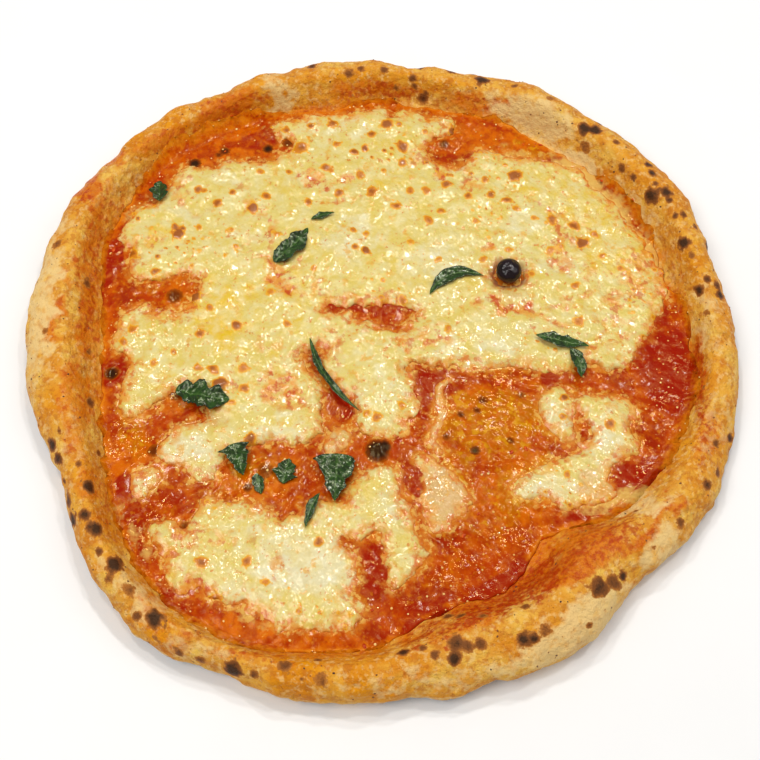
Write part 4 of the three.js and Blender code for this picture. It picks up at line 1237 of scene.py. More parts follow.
def sauce_finish(settings):
    look = Finish("Tomato Sauce")
    base = look.cover(look.mottle(12, 0.5, 0.12), settings.red_color, settings.warm_color)
    base = look.coats(
        base,
        (None, 6, 0.54, 0.12, 0, 0.5, paint(206, 98, 0)),
        ("orange", 7, 0.5, 0.2, 0.55, 1, settings.orange_color),
        (None, 4.0, 0.56, 0.09, 0, 0.5, paint(152, 34, 0)),
        ("gold", 5, 0.5, 0.16, 0.55, 1, settings.gold_color),
        (None, 2.6, 0.6, 0.07, 0, 0.45, paint(208, 124, 6)),
        ("gold", 3.2, 0.55, 0.08, 0.1, 0.8, paint(212, 150, 14)),
        ("milky", 4.0, 0.5, 0.12, 0.05, 0.6, paint(208, 126, 30)),
        ("lace", 2.8, 0.55, 0.06, 0.1, 0.7, paint(224, 178, 88)),
        ("brim", 5, 0.5, 0.2, 0.4, 0.8, paint(206, 104, 2)),
        ("verge", 3, 0.5, 0.2, 0.3, 0.9, paint(216, 128, 20)),
        ("deep", 5, 0.45, 0.2, 0.6, 0.92, settings.deep_color),
        ("pale", 5, 0.5, 0.2, 0.5, 0.8, paint(216, 178, 92)),
    )
    baked = look.scorch(
        base, look.layer("scorch"), paint(150, 66, 0), paint(104, 40, 2), paint(46, 20, 8), breakup=0.45
    )
    gloss = look.grey(look.mottle(13, 0.5, 0.1), 0.08, 0.3)
    normal = look.bump(2.2, 0.9, 0.16, 0.3, 0.9)
    wet = {"Coat_Weight": 0.18, "Coat_Roughness": 0.1, "Coat_IOR": 1.35}
    shine = {"Specular_IOR_Level": 0.25, "Specular_Tint": (1, 0.7, 0.2, 1)}
    return look.close(baked["Color"], gloss, normal, **wet, **shine)


# ---- Mozzarella -------------------------------------------------------------------------------------------

# Spacing of the points of the large sheet and of the smaller pieces, and the room left round their boxes.
MAIN_SPACING = 0.88
SMALL_SPACING = 0.75
SHEET_MARGIN = 5.0

# Places filled because the sheet is pinched there get this distance from the edge, in at most so many passes.
PINCH_PASSES = 20
PINCH_FILL = -0.02

# How far a point outside the edge can be drawn in, next to the spacing, and the flattest slope that counts.
DRAW_IN = 1.2
LEAST_SLOPE = 0.4

# The edge stands this much above the piece's lowest level; the toasted blisters rise by so much.
EDGE_LIFT = 0.02
TOAST_RISE = 0.5

# How full the cheese is, next to its packed height, and what thin places and tomato take away.
CHEESE_FILL = 0.93
CHEESE_BODY = 0.78
THIN_LOSS = 0.35
TOMATO_LOSS = 0.2
LEAST_BODY = 0.3

# Patterns of the cheese: its broad and small waves, tomato seen through it, the uneven edge of the stain by
# the olive, and where small browned spots gather.
BROAD_WAVES = (16, 0, 3)
SMALL_WAVES = (6.5, 1, 2)
TOMATO_DRIFT = (22, 8, 3)
STAIN_EDGE = (4, 9, 2)
GATHERING = (26, 0, 2)

# Small browned spots: one to a cell, smallest radius and how much larger one can be, and the share kept.
SPOT_CELL = 4.2
SPOT_RADIUS = (0.5, 1.1)
SPOTS_KEPT = 0.55


def small_blisters(x, y, seed):
    """Small browned spots, gathered in groups here and there."""
    smallest, larger = SPOT_RADIUS
    place = flat_points(x, y)
    grid = np.floor(place / SPOT_CELL)
    gathered = smooth_step(0.15, 0.8, pattern(place, seed, GATHERING))
    value = np.zeros(len(x))
    for corner in range(9):
        home = grid + np.array([corner % 3 - 1, corner // 3 - 1, 0])
        shift = np.stack([lattice(home, seed + 1 + k) for k in range(2)], axis=1)
        radius = smallest + larger * lattice(home, seed + 4) ** 2
        kept = lattice(home, seed + 5) < SPOTS_KEPT
        near = np.linalg.norm(place[:, :2] - (home[:, :2] + shift) * SPOT_CELL, axis=1) / radius
        value = np.maximum(value, kept * np.clip(1 - near**2, 0, 1) * (0.25 + 0.5 * lattice(home, seed + 6)))
    return value * gathered


def close_pinches(field):
    """Fill the places where a sheet of cheese would be pinched to no thickness along an edge inside it."""
    for _ in range(PINCH_PASSES):
        out = field >= 0
        cells = ~(out[:-1, :-1] & out[1:, :-1] & out[:-1, 1:] & out[1:, 1:])
        upright = cells[:, :-1] & cells[:, 1:] & out[:-1, 1:-1] & out[1:, 1:-1]
        field[:-1, 1:-1][upright] = PINCH_FILL
        level = cells[:-1] & cells[1:] & out[1:-1, :-1] & out[1:-1, 1:]
        field[1:-1, :-1][level] = PINCH_FILL
        if not (upright.any() or level.any()):
            return


def cheese_sheet(name):
    """One piece's flat points, their signed distance from its edge, and the triangles between them.

    The points just outside the edge are drawn in to it. Each square is split so that no triangle, and no
    line between two triangles, has all its ends on the edge.
    """
    _, low, high = OUTLINES[name]
    step = MAIN_SPACING if name == "mozzarella_main" else SMALL_SPACING
    xs = np.arange(low[0] - SHEET_MARGIN, high[0] + SHEET_MARGIN, step)
    ys = np.arange(low[1] - SHEET_MARGIN, high[1] + SHEET_MARGIN, step)
    gx, gy = (g.ravel() for g in np.meshgrid(xs, ys))
    field = cheese_field(name, gx, gy).reshape(len(ys), len(xs))
    close_pinches(field)
    slope_y, slope_x = np.gradient(field, step)
    inside = field < 0
    rows, columns = np.nonzero(inside[:-1, :-1] | inside[1:, :-1] | inside[:-1, 1:] | inside[1:, 1:])
    width = len(xs)
    corner = rows * width + columns
    quads = np.stack([corner, corner + 1, corner + width + 1, corner + width], axis=1)
    used, index = np.unique(quads, return_inverse=True)
    distance = field.ravel()[used]
    a, b, c, d = index.reshape(-1, 4).T
    other_way = (distance[b] >= 0) & (distance[d] >= 0)
    first = np.where(other_way, [a, b, c], [a, b, d])
    second = np.where(other_way, [a, c, d], [b, c, d])
    slope = np.stack([slope_x.ravel()[used], slope_y.ravel()[used]], axis=1)
    steep = np.maximum(np.hypot(*slope.T), LEAST_SLOPE)[:, None]
    pull = np.minimum(np.maximum(distance, 0)[:, None] / steep, step * DRAW_IN)
    flat = np.stack([gx[used], gy[used]], axis=1) - slope / steep * pull
    return flat, distance, np.concatenate([first.T, second.T])


def cheese_mesh(name, settings):
    """One piece's points, faces and layers: a sheet, flat underneath and thinner toward its edge."""
    _, low, high = OUTLINES[name]
    flat, distance, triangles = cheese_sheet(name)
    x, y = flat.T
    edge = distance >= 0
    depth = np.where(edge, 0, -distance)
    rounded = np.clip(depth / (settings.edge_round / MM), 0, 1)
    rounded = 0.35 * np.sqrt(rounded) + 0.65 * np.sin(rounded * math.pi / 2)
    place = flat_points(x, y)
    waves = 0.5 * pattern(place, settings.seed, BROAD_WAVES)
    waves = waves + 0.5 * pattern(place, settings.seed, SMALL_WAVES)
    waves = settings.wave_height / MM * waves
    flat_top = flat_points(x, y, high[2])
    toast = spots(CHEESE_BLISTERS, flat_top, np.ones(len(x), dtype=bool), 0.55, settings.seed + 2)
    toast = np.maximum(toast, small_blisters(x, y, settings.seed + 3))
    thin = patches(CHEESE_THIN, flat_top, 4, settings.seed + 6)
    tomato = patches(CHEESE_TOMATO, flat_top, 5, settings.seed + 5)
    tomato = np.maximum(tomato, 0.6 * smooth_step(0.5, 1.0, pattern(place, settings.seed, TOMATO_DRIFT)))
    share = np.clip(CHEESE_BODY - THIN_LOSS * thin - TOMATO_LOSS * tomato, LEAST_BODY, 1)
    body = CHEESE_FILL * (high[2] - low[2]) * share
    z_top = low[2] + EDGE_LIFT + (body + waves) * rounded + TOAST_RISE * np.sqrt(toast) * rounded
    top = np.stack([x, y, np.where(edge, low[2] + EDGE_LIFT, z_top)], axis=1)
    bottom = flat_points(x, y, low[2])[~edge]
    bottom_of = np.where(edge, np.arange(len(top)), np.cumsum(~edge) - 1 + len(top))
    faces = np.concatenate([triangles, bottom_of[triangles][:, ::-1]])
    olive = np.mean(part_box("olive"), axis=0) / MM
    off_olive = np.hypot(x - olive[0], y - olive[1]) + 2 * pattern(place, settings.seed, STAIN_EDGE)

    def both_sides(values):
        return np.concatenate([values, values[~edge]])

    def on_top(values):
        return np.concatenate([values, np.zeros(len(bottom))])

    layers = {
        "toast": both_sides(1.3 * toast),
        "oil": both_sides(patches(CHEESE_OIL, flat_top, 6, settings.seed + 4)),
        "tomato": both_sides(tomato),
        "thin": both_sides(thin),
        "white": both_sides(patches(CHEESE_WHITE, flat_top, 6, settings.seed + 7)),
        "fade": both_sides(smooth_step(9.0, 0.3, depth)),
        "brink": both_sides(smooth_step(3.2, 0.2, depth)),
        "bruise": both_sides(smooth_step(11, 6, off_olive)),
        "free": on_top(smooth_step(0.5, 3, depth)),
        "strew": on_top(smooth_step(0.5, 2, depth)),
    }
    return np.concatenate([top, bottom]), faces.tolist(), layers


def cheese_finish(settings):
    look = Finish("Melted Mozzarella")
    base = look.cover(look.mottle(11, 0.5, 0.3), settings.cream_color, settings.butter_color)
    base = look.coats(
        base,
        ("oil", 6, 0.5, 0.2, 0.45, 1, settings.oil_color),
        ("white", 7, 0.5, 0.2, 0.5, 0.85, settings.white_color),
        (None, 7.0, 0.54, 0.22, 0, 0.5, paint(216, 186, 70)),
        (None, 5.0, 0.55, 0.2, 0, 0.45, paint(228, 222, 184)),
        ("thin", 6, 0.5, 0.25, 0.6, 0.75, settings.thin_color),
        (None, 4.4, 0.62, 0.06, 0, 0.7, paint(220, 160, 50)),
        (None, 2.6, 0.65, 0.05, 0, 0.8, paint(204, 116, 20)),
        ("fade", 4.2, 0.5, 0.1, 0.12, 0.85, paint(222, 150, 52)),
        ("fade", 3.0, 0.56, 0.06, 0.0, 0.85, paint(202, 92, 6)),
        ("brink", 3, 0.52, 0.12, 0.3, 0.8, paint(208, 108, 16)),
        ("tomato", 6, 0.5, 0.1, 0.4, 0.85, paint(220, 140, 34)),
        ("tomato", 4.0, 0.54, 0.07, 0.22, 0.9, settings.tomato_color),
    )
    base = look.cover(look.times(look.layer("bruise"), 0.85), base, paint(150, 88, 62))
    baked = look.scorch(
        base, look.layer("toast"), paint(228, 166, 36), paint(206, 122, 4), paint(152, 78, 2), breakup=0.45
    )
    gloss = look.grey(look.mottle(14, 0.52, 0.12), 0.08, 0.24)
    gloss = look.cover(baked["Mask"], gloss, (0.5, 0.5, 0.5))
    normal = look.bump(1.5, 0.6, 0.4, 0.34, 0.9)
    wet = {"Coat_Weight": 0.5, "Coat_Roughness": 0.1, "Coat_IOR": 1.4}
    shine = {"Specular_IOR_Level": 0.45, "Specular_Tint": (1, 0.93, 0.72, 1)}
    return look.close(baked["Color"], gloss, normal, **wet, **shine)


# ---- Basil ------------------------------------------------------------------------------------------------

# Direction of the midrib in degrees, length, width, how far the sides cup, how many degrees the midrib bends
# through, the outline's kind, and how strongly it is crumpled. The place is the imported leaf's own.
LEAVES = {
    "basil_long_edge": (-58, 45, 3.8, 0.8, 42, "blade", 0.5),
    "basil_by_olive": (22, 31, 6, 0.8, -95, "blade", 0.6),
    "basil_back": (50, 25, 9.5, 1.4, 24, "oval", 1.3),
    "basil_back_tip": (20, 12, 3.5, 0.4, -12, "blade", 0.3),
    "basil_left": (-12, 25, 14, 2.0, 15, "lobed", 1.4),
    "basil_front_left": (-70, 16, 12, 1.5, 0, "shield", 1.0),
    "basil_front_oval": (80, 12, 9, 1.2, 0, "oval", 0.6),
    "basil_front_sliver": (-75, 10, 5, 0.8, 0, "oval", 0.3),
    "basil_front_right": (-92, 22, 17, 1.4, 0, "shield", 0.8),
    "basil_front_arc": (-110, 17, 4, 0.6, 30, "blade", 0.3),
    "basil_right": (-14, 25, 6, 0.8, 8, "blade", 0.5),
    "basil_right_hook": (-75, 16, 6.5, 1.0, -50, "blade", 0.5),
    "basil_back_left": (95, 12, 8, 1.2, 0, "oval", 0.6),
}

# Points along a leaf and across it.
LEAF_ROWS = 44
LEAF_COLUMNS = 19

# In millimetres: the gap under a leaf, its height above its packed place, its thickness, how much thinner its
# edge is, the spacing of its side veins, the depth of its veins, and a height above everything.
LEAF_GAP = 0.08
LEAF_LIFT = 0.1
LEAF_THICKNESS = 0.42
EDGE_THINNING = 0.6
VEIN_SPACING = 3.2
VEIN_DEPTH = 0.25
LOOK_FROM = 40.0

# In millimetres: widths of the grooves of a leaf's midrib and of its side veins. Next to the leaf's own
# width: how narrow its ends can be. Next to the distance from the midrib: how far side veins slant forward.
MIDRIB_WIDTH = 0.35
SIDE_VEIN_WIDTH = 0.3
LEAST_LEAF_WIDTH = 0.02
VEIN_SLANT = 0.9

# How deeply a leaf's outline is nicked, and how fast the nicks follow each other along it.
NICK_DEPTH = 0.28
NICK_RATE = 7

# Patterns of a leaf, each leaf with a seed of its own.
LEAF_SEED = 300
NICKS = (1.0, 0, 3)
CREASES = (5, 1, 2)
PUCKERS = (2.2, 2, 2)
DARKENING = (4, 3, 2)


def leaf_half_width(kind, u):
    """Half of a leaf's width, from 0 to 1, at a share u of its length.

    A shield widens fast and narrows slowly, a lobed leaf has three bulges, the others are plain ovals.
    """
    if kind == "shield":
        return np.clip(u / 0.16, 0, 1) ** 0.55 * (1 - u) ** 0.75 * 1.12
    if kind == "lobed":
        return np.sin(np.pi * u) ** 0.5 * (0.62 + 0.38 * np.abs(np.sin(3 * np.pi * u + 0.5)))
    if kind == "oval":
        return np.sin(np.pi * u**0.85) ** 0.7
    return np.sin(np.pi * u**0.9) ** 0.9


def toppings_below():
    """The surfaces that a leaf can lie on, ready to be looked up from above."""
    graph = bpy.context.evaluated_depsgraph_get()
    names = ["sauce_layer", *("melted_" + name for name in CHEESE_NODES)]
    return [BVHTree.FromObject(bpy.data.objects[name], graph) for name in names]


def ground_under(surfaces, x, y):
    """Height in millimetres of the topmost surface at each place, or 0 where there is none."""
    heights = np.zeros(len(x))
    down = Vector((0, 0, -1))
    for number, (place_x, place_y) in enumerate(zip(x, y)):
        above = Vector((place_x, place_y, LOOK_FROM)) * MM
        hits = (surface.ray_cast(above, down)[0] for surface in surfaces)
        heights[number] = max((hit.z / MM for hit in hits if hit), default=0)
    return heights


def leaf_mesh(name, number, surfaces):
    """A leaf's points, faces and layers: bent, veined and crumpled, and resting on what lies under it."""
    along, length, width, cup, bend, kind, crumple = LEAVES[name]
    seed = LEAF_SEED + 7 * number
    u, v = np.meshgrid(np.linspace(0, 1, LEAF_ROWS), np.linspace(-1, 1, LEAF_COLUMNS), indexing="ij")
    u, v = u.ravel(), v.ravel()
    turn = math.radians(bend)
    facing = turn * (u - 0.5)
    if turn:
        mid_x, mid_y = length / turn * np.sin(facing), length / turn * (1 - np.cos(facing))
    else:
        mid_x, mid_y = length * (u - 0.5), np.zeros_like(u)
    nick = 1 + NICK_DEPTH * pattern(flat_points(u * NICK_RATE, np.sign(v) * 3), seed, NICKS)
    half = np.maximum(leaf_half_width(kind, u), LEAST_LEAF_WIDTH) * width / 2 * nick
    x = mid_x - np.sin(facing) * v * half
    y = mid_y + np.cos(facing) * v * half
    place = flat_points(x, y)
    lift = cup * v**2 * leaf_half_width(kind, u)
    lift = lift + crumple * (0.5 * pattern(place, seed, CREASES) + 0.25 * pattern(place, seed, PUCKERS))
    off_middle = np.abs(v) * half
    off_side = np.abs(((u * length - off_middle * VEIN_SLANT) / VEIN_SPACING + 0.5) % 1 - 0.5) * VEIN_SPACING
    midrib = np.exp(-((off_middle / MIDRIB_WIDTH) ** 2))
    vein = np.maximum(midrib, 0.7 * np.exp(-((off_side / SIDE_VEIN_WIDTH) ** 2)))
    lift = lift - VEIN_DEPTH * vein
    cos, sin = math.cos(math.radians(along)), math.sin(math.radians(along))
    px, py = cos * x - sin * y, sin * x + cos * y
    low, high = (np.array(corner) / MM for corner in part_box(name))
    centre = (low + high) / 2
    px += centre[0] - (px.min() + px.max()) / 2
    py += centre[1] - (py.min() + py.max()) / 2
    edge = smooth_step(0.75, 1.0, np.abs(v))
    thickness = LEAF_THICKNESS * (1 - EDGE_THINNING * edge)
    resting = np.maximum(low[2] + LEAF_LIFT + lift, ground_under(surfaces, px, py) + LEAF_GAP)
    upper = np.stack([px, py, resting + thickness], axis=1)
    lower = np.stack([px, py, resting], axis=1)
    count = len(upper)
    grid = np.arange(count).reshape(LEAF_ROWS, LEAF_COLUMNS)
    cells = grid[:-1, :-1].ravel()
    quads = np.stack([cells, cells + LEAF_COLUMNS, cells + LEAF_COLUMNS + 1, cells + 1], axis=1)
    border = np.concatenate([grid[0], grid[1:, -1], grid[-1, -2::-1], grid[-2:0:-1, 0]])
    after = np.roll(border, -1)
    wall = np.stack([border, after, after + count, border + count], axis=1)
    faces = np.concatenate([quads, quads[:, ::-1] + count, wall])
    dark = np.clip(edge + 0.4 * pattern(place, seed, DARKENING), 0, 1)
    layers = {"vein": np.tile(vein, 2), "dark": np.tile(dark, 2)}
    return np.concatenate([upper, lower]), faces.tolist(), layers


def basil_finish(settings):
    look = Finish("Wilted Basil")
    base = look.cover(look.mottle(3, 0.5, 0.15), settings.leaf_color, paint(30, 66, 14))
    base = look.cover(look.times(look.layer("vein"), 0.55), base, settings.vein_color)
    base = look.cover(look.layer("dark"), base, paint(10, 20, 6))
    base = look.cover(look.times(look.mottle(1.2, 0.68, 0.03), 0.6), base, paint(150, 150, 104))
    gloss = look.grey(look.mottle(2, 0.5, 0.2), 0.1, 0.28)
    normal = look.bump(2.0, 0.6, 0.15, 0.4, 0.9)
    wet = {"Coat_Weight": 0.3, "Coat_Roughness": 0.12}
    return look.close(base, gloss, normal, **wet, Specular_Tint=(0.9, 1, 0.6, 1))


# ---- Olive ------------------------------------------------------------------------------------------------

# Rings of the olive's skin, and points round each.
OLIVE_RINGS = 59
OLIVE_COLUMNS = 96

# The olive next to its packed size: its fullest, its wrinkles and how narrow they are, the place, width and
# depth of the dent in its top, and how far down it reaches.
OLIVE_FULLEST = 1.02
WRINKLES = (0.8, 0, 2)
WRINKLE_SHARPNESS = 7
DENT_PLACE = (-0.15, -0.1)
DENT_WIDTH = 0.3
DENT_DEPTH = 0.14
OLIVE_SEAT = -0.86


def olive_mesh(settings):
    """The olive's points, faces and layers: wrinkled, dented at the top and flat where it sits."""
    low, high = (np.array(corner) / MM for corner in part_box("olive"))
    polar = np.arange(1, OLIVE_RINGS + 1)[:, None] * math.pi / (OLIVE_RINGS + 1)
    around = np.arange(OLIVE_COLUMNS) * math.tau / OLIVE_COLUMNS
    level = np.broadcast_to(np.cos(polar), (OLIVE_RINGS, OLIVE_COLUMNS))
    unit = np.stack([np.sin(polar) * np.cos(around), np.sin(polar) * np.sin(around), level], axis=-1)
    unit = np.concatenate([unit.reshape(-1, 3), [[0, 0, 1.0], [0, 0, -1.0]]])
    # The creases set the wrinkles' depth and also carry the painted shade laid in them.
    crease_and_shade = np.exp(-np.abs(pattern(unit, settings.seed, WRINKLES)) * WRINKLE_SHARPNESS)
    off_dent = np.hypot(*(unit[:, :2] - DENT_PLACE).T) / DENT_WIDTH
    dent = np.exp(-(off_dent**2)) * (unit[:, 2] > 0)
    body = unit * (OLIVE_FULLEST - settings.wrinkle_depth * crease_and_shade - DENT_DEPTH * dent)[:, None]
    body[:, 2] = np.maximum(body[:, 2], OLIVE_SEAT)
    points = (low + high) / 2 + body * (high - low) / 2
    layers = {"crease_and_shade": crease_and_shade, "low": smooth_step(0.35, -0.5, unit[:, 2])}
    return points, ring_faces(OLIVE_RINGS, OLIVE_COLUMNS, len(points)), layers


def olive_finish(settings):
    look = Finish("Baked Olive")
    base = look.cover(look.mottle(2.5, 0.5, 0.15), settings.skin_color, paint(18, 6, 9))
    # Painted shade: the creases of the wrinkles are darkened as if shade lay in them.
    base = look.cover(look.times(look.layer("crease_and_shade"), 0.6), base, paint(14, 8, 8))
    base = look.cover(look.times(look.layer("low"), 0.9), base, paint(86, 22, 24))
    gloss = look.grey(look.mottle(1.6, 0.5, 0.15), 0.08, 0.2)
    normal = look.bump(1.8, 0.6, 0.2, 0.3, 0.9)
    return look.close(base, gloss, normal, Coat_Weight=0.3, Coat_Roughness=0.06, Specular_IOR_Level=0.2)


# ---- Small scattered things -------------------------------------------------------------------------------


def oil_finish():
    look = Finish("Oil Beads")
    base = look.cover(look.mottle(4, 0.5, 0.2), paint(240, 214, 140), paint(226, 156, 60))
    gloss = look.grey(look.mottle(4, 0.5, 0.2), 0.05, 0.12)
    normal = look.bump(0.8, 0.4, 0.2, 0.05, 0.3)
    wet = {"Coat_Weight": 0.5, "Coat_Roughness": 0.04}
    return look.close(base, gloss, normal, **wet, Specular_Tint=(1, 0.9, 0.6, 1))


def pulp_finish():
    look = Finish("Tomato Pulp")
    base = look.cover(look.mottle(3, 0.5, 0.1), paint(168, 36, 2), paint(206, 80, 10))
    gloss = look.grey(look.mottle(2, 0.5, 0.2), 0.16, 0.36)
    normal = look.bump(1.0, 0.4, 0.3, 0.3, 0.7)
    return look.close(base, gloss, normal, Specular_Tint=(1, 0.6, 0.3, 1))


def crumb_finish():
    look = Finish("Toasted Crumbs")
    base = look.cover(look.mottle(3, 0.5, 0.08), paint(150, 84, 30), paint(70, 36, 18))
    gloss = look.grey(look.mottle(2, 0.5, 0.2), 0.55, 0.75)
    normal = look.bump(0.9, 0.4, 0.4, 0.3, 0.8)
    return look.close(base, gloss, normal)


def scatter_on(name, sources, values, material):
    """A piece made of small lumps strewn over copies of finished pieces."""
    carrier = make_object(name, sources[0].data.copy())
    if len(sources) > 1:
        extra = [make_object(name + "_part", s.data.copy()) for s in sources[1:]]
        with bpy.context.temp_override(active_object=carrier, selected_editable_objects=[carrier, *extra]):
            bpy.ops.object.join()
    carrier.data.materials.clear()
    run_tree(carrier, scatter_tree(), values, material)
    return carrier


# ---- Settings, operators and panel ------------------------------------------------------------------------


def colour_setting(name, description, red, green, blue):
    """A colour in the sidebar, whose default is given as display values from 0 to 255."""
    default = paint(red, green, blue)
    return FloatVectorProperty(name=name, description=description, default=default, subtype="COLOR")


class PizzaDoughSettings(bpy.types.PropertyGroup):
    seed: IntProperty(name="Seed", description="Which dough of many", default=11)
    fold_depth: FloatProperty(
        name="Fold Depth", description="Depth of the rim's folds", default=0.0011, unit="LENGTH"
    )
    lump_height: FloatProperty(
        name="Lump Height", description="Height of soft lumps", default=0.0012, unit="LENGTH"
    )
    pale_color: colour_setting("Pale", "Lightly baked dough", 232, 184, 80)
    gold_color: colour_setting("Golden", "Well baked dough", 224, 144, 0)
    stain_color: colour_setting("Stain", "Dough soaked by sauce and oil", 214, 114, 0)
    # Floury dough, and the painted light that makes the right inner slope paler.
    flour_and_light_color: colour_setting("Flour", "Floury dough", 234, 200, 134)


class PizzaSauceSettings(bpy.types.PropertyGroup):
    seed: IntProperty(name="Seed", description="Which sauce of many", default=51)
    lap: FloatProperty(
        name="Lap", description="How far sauce laps up the rim", default=0.0035, unit="LENGTH"
    )
    lump_height: FloatProperty(
        name="Lump Height", description="Height of the pulp", default=0.0008, unit="LENGTH"
    )
    red_color: colour_setting("Red", "Plain sauce", 150, 30, 0)
    warm_color: colour_setting("Warm", "Oily sauce", 176, 54, 0)
    orange_color: colour_setting("Orange", "Sauce mixed with oil", 204, 96, 0)
    gold_color: colour_setting("Gold", "Bubbled sauce with cheese fat", 182, 98, 0)
    deep_color: colour_setting("Deep", "Thick sauce", 150, 10, 0)


class PizzaCheeseSettings(bpy.types.PropertyGroup):
    seed: IntProperty(name="Seed", description="Which cheese of many", default=81)
    edge_round: FloatProperty(
        name="Edge", description="Width of the thinned edge", default=0.0055, unit="LENGTH"
    )
    wave_height: FloatProperty(
        name="Waves", description="Height of broad waves", default=0.001, unit="LENGTH"
    )
    cream_color: colour_setting("Cream", "Melted cheese", 215, 198, 116)
    butter_color: colour_setting("Butter", "Fatty cheese", 216, 188, 84)
    white_color: colour_setting("White", "Thick cheese", 222, 214, 176)
    oil_color: colour_setting("Oil", "Oily cheese", 222, 180, 16)
    thin_color: colour_setting("Thin", "Thin cheese", 206, 156, 100)
    tomato_color: colour_setting("Tomato", "Tomato showing through", 192, 66, 8)


class PizzaBasilSettings(bpy.types.PropertyGroup):
    leaf_color: colour_setting("Leaf", "Wilted leaf", 14, 34, 8)
    vein_color: colour_setting("Vein", "Veins", 70, 108, 34)


class PizzaOliveSettings(bpy.types.PropertyGroup):
    seed: IntProperty(name="Seed", description="Which olive of many", default=7)
    wrinkle_depth: FloatProperty(
        name="Wrinkles", description="Depth of the wrinkles", default=0.06, subtype="FACTOR"
    )
    skin_color: colour_setting("Skin", "Olive skin", 30, 10, 16)


class PizzaScatterSettings(bpy.types.PropertyGroup):
    seed: IntProperty(name="Seed", description="Which scattering of many", default=5)
    oil_density: FloatProperty(
        name="Oil Beads", description="Oil beads for each square metre", default=16000.0
    )
    pulp_density: FloatProperty(
        name="Pulp", description="Bits of tomato for each square metre", default=3000.0
    )
    crumb_density: FloatProperty(
        name="Crumbs", description="Toasted crumbs for each square metre", default=7000.0
    )


class PizzaStageSettings(bpy.types.PropertyGroup):
    floor_size: FloatProperty(name="Floor", description="Side of the floor", default=6.0, unit="LENGTH")
    key_power: FloatProperty(name="Key Light", description="Power of the main light in watts", default=8.6)
    glint_power: FloatProperty(
        name="Glint Light", description="Power of the small light in watts", default=3.0
    )
    sky_strength: FloatProperty(name="Sky", description="Strength of the even light", default=0.34)


# The floor lies just under the pizza.
FLOOR_LEVEL = -0.0003

SKY_COLOR = (1, 0.99, 0.97, 1)
LAMP_COLOR = (1.0, 0.985, 0.96)

# Round lamps that face the middle: name, place, size, and power next to that of the lamp's kind.
SOFT_LAMPS = (("key_light", (-0.6, -0.35, 1.3), 0.8, 1), ("side_light", (0.9, 0.1, 1.1), 0.8, 0.3))
GLINT_LAMPS = (
    ("glint_light", (0.15, 0.62, 1.25), 0.1, 1),
    ("glint_light_left", (-0.35, 0.45, 1.3), 0.1, 1),
    ("glint_light_right", (0.5, 0.3, 1.3), 0.1, 1),
)


class PIZZA_OT_add_stage(bpy.types.Operator):
    """Adds the floor, the lights and the camera"""

    bl_idname = "pizza.add_stage"
    bl_label = "Add Stage"

    def execute(self, context):
        settings = context.scene.pizza_stage
        half = settings.floor_size / 2
        mesh = bpy.data.meshes.new("studio_floor")
        corners = [(x * half, y * half, FLOOR_LEVEL) for x, y in ((-1, -1), (1, -1), (1, 1), (-1, 1))]
        mesh.from_pydata(corners, [], [(0, 1, 2, 3)])
        floor = make_object("studio_floor", mesh)
        look = Finish("Pale Floor")
        color = look.grey(look.mottle(60, 0.5, 0.3), 0.9, 0.88)
        mesh.materials.append(look.close(color, 0.8, look.bump(8, 2, 0.2, 0.02, 0.2)))

        world = bpy.data.worlds.new("Studio")
        context.scene.world = world
        world.use_nodes = True
        sky = world.node_tree.nodes["Background"]
        sky.inputs["Color"].default_value = SKY_COLOR
        sky.inputs["Strength"].default_value = settings.sky_strength
        lamps = [(*lamp, settings.key_power) for lamp in SOFT_LAMPS]
        lamps += [(*lamp, settings.glint_power) for lamp in GLINT_LAMPS]
        for name, place, size, share, power in lamps:
            data = bpy.data.lights.new(name, "AREA")
            data.shape = "DISK"
            data.size = size
            data.energy = power * share
            data.color = LAMP_COLOR
            lamp = make_object(name, data)
            lamp.location = place
            lamp.rotation_euler = (-Vector(place)).to_track_quat("-Z", "Y").to_euler()

        data = bpy.data.cameras.new("camera")
        data.sensor_width = 36
        data.lens = CAMERA_LENS
        data.clip_start = 0.01
        camera = make_object("camera", data)
        camera.location = EYE * MM
        camera.rotation_euler = (math.pi / 2 - CAMERA_ELEVATION, 0, 0)
        context.scene.camera = camera
        context.scene.view_settings.view_transform = "Standard"
        return {"FINISHED"}


class PIZZA_OT_add_dough(bpy.types.Operator):
    """Adds the baked dough with its puffed rim"""

    bl_idname = "pizza.add_dough"
    bl_label = "Add Dough"

    def execute(self, context):
        settings = context.scene.pizza_dough
        piece = make_object("baked_dough", make_mesh("baked_dough", *dough_mesh(Rim(), settings)))
        run_tree(piece, relief_tree(), DOUGH_RELIEF, dough_finish(settings))
        finish_piece(piece, "dough", "dough")
        return {"FINISHED"}


class PIZZA_OT_add_sauce(bpy.types.Operator):
    """Adds the layer of tomato sauce"""

    bl_idname = "pizza.add_sauce"
    bl_label = "Add Tomato Sauce"

    def execute(self, context):
        settings = context.scene.pizza_sauce
        mesh = make_mesh("sauce_layer", *sauce_mesh(Rim(), settings))
        mesh.materials.append(sauce_finish(settings))
        finish_piece(make_object("sauce_layer", mesh), "tomato", "tomato_sauce")
        return {"FINISHED"}


class PIZZA_OT_add_mozzarella(bpy.types.Operator):
    """Adds the pieces of melted mozzarella"""

    bl_idname = "pizza.add_mozzarella"
    bl_label = "Add Mozzarella"

    def execute(self, context):
        settings = context.scene.pizza_cheese
        material = cheese_finish(settings)
        for name in CHEESE_NODES:
            piece = make_object("melted_" + name, make_mesh("melted_" + name, *cheese_mesh(name, settings)))
            run_tree(piece, relief_tree(), CHEESE_RELIEF, material)
            finish_piece(piece, "mozzarella", name)
        return {"FINISHED"}


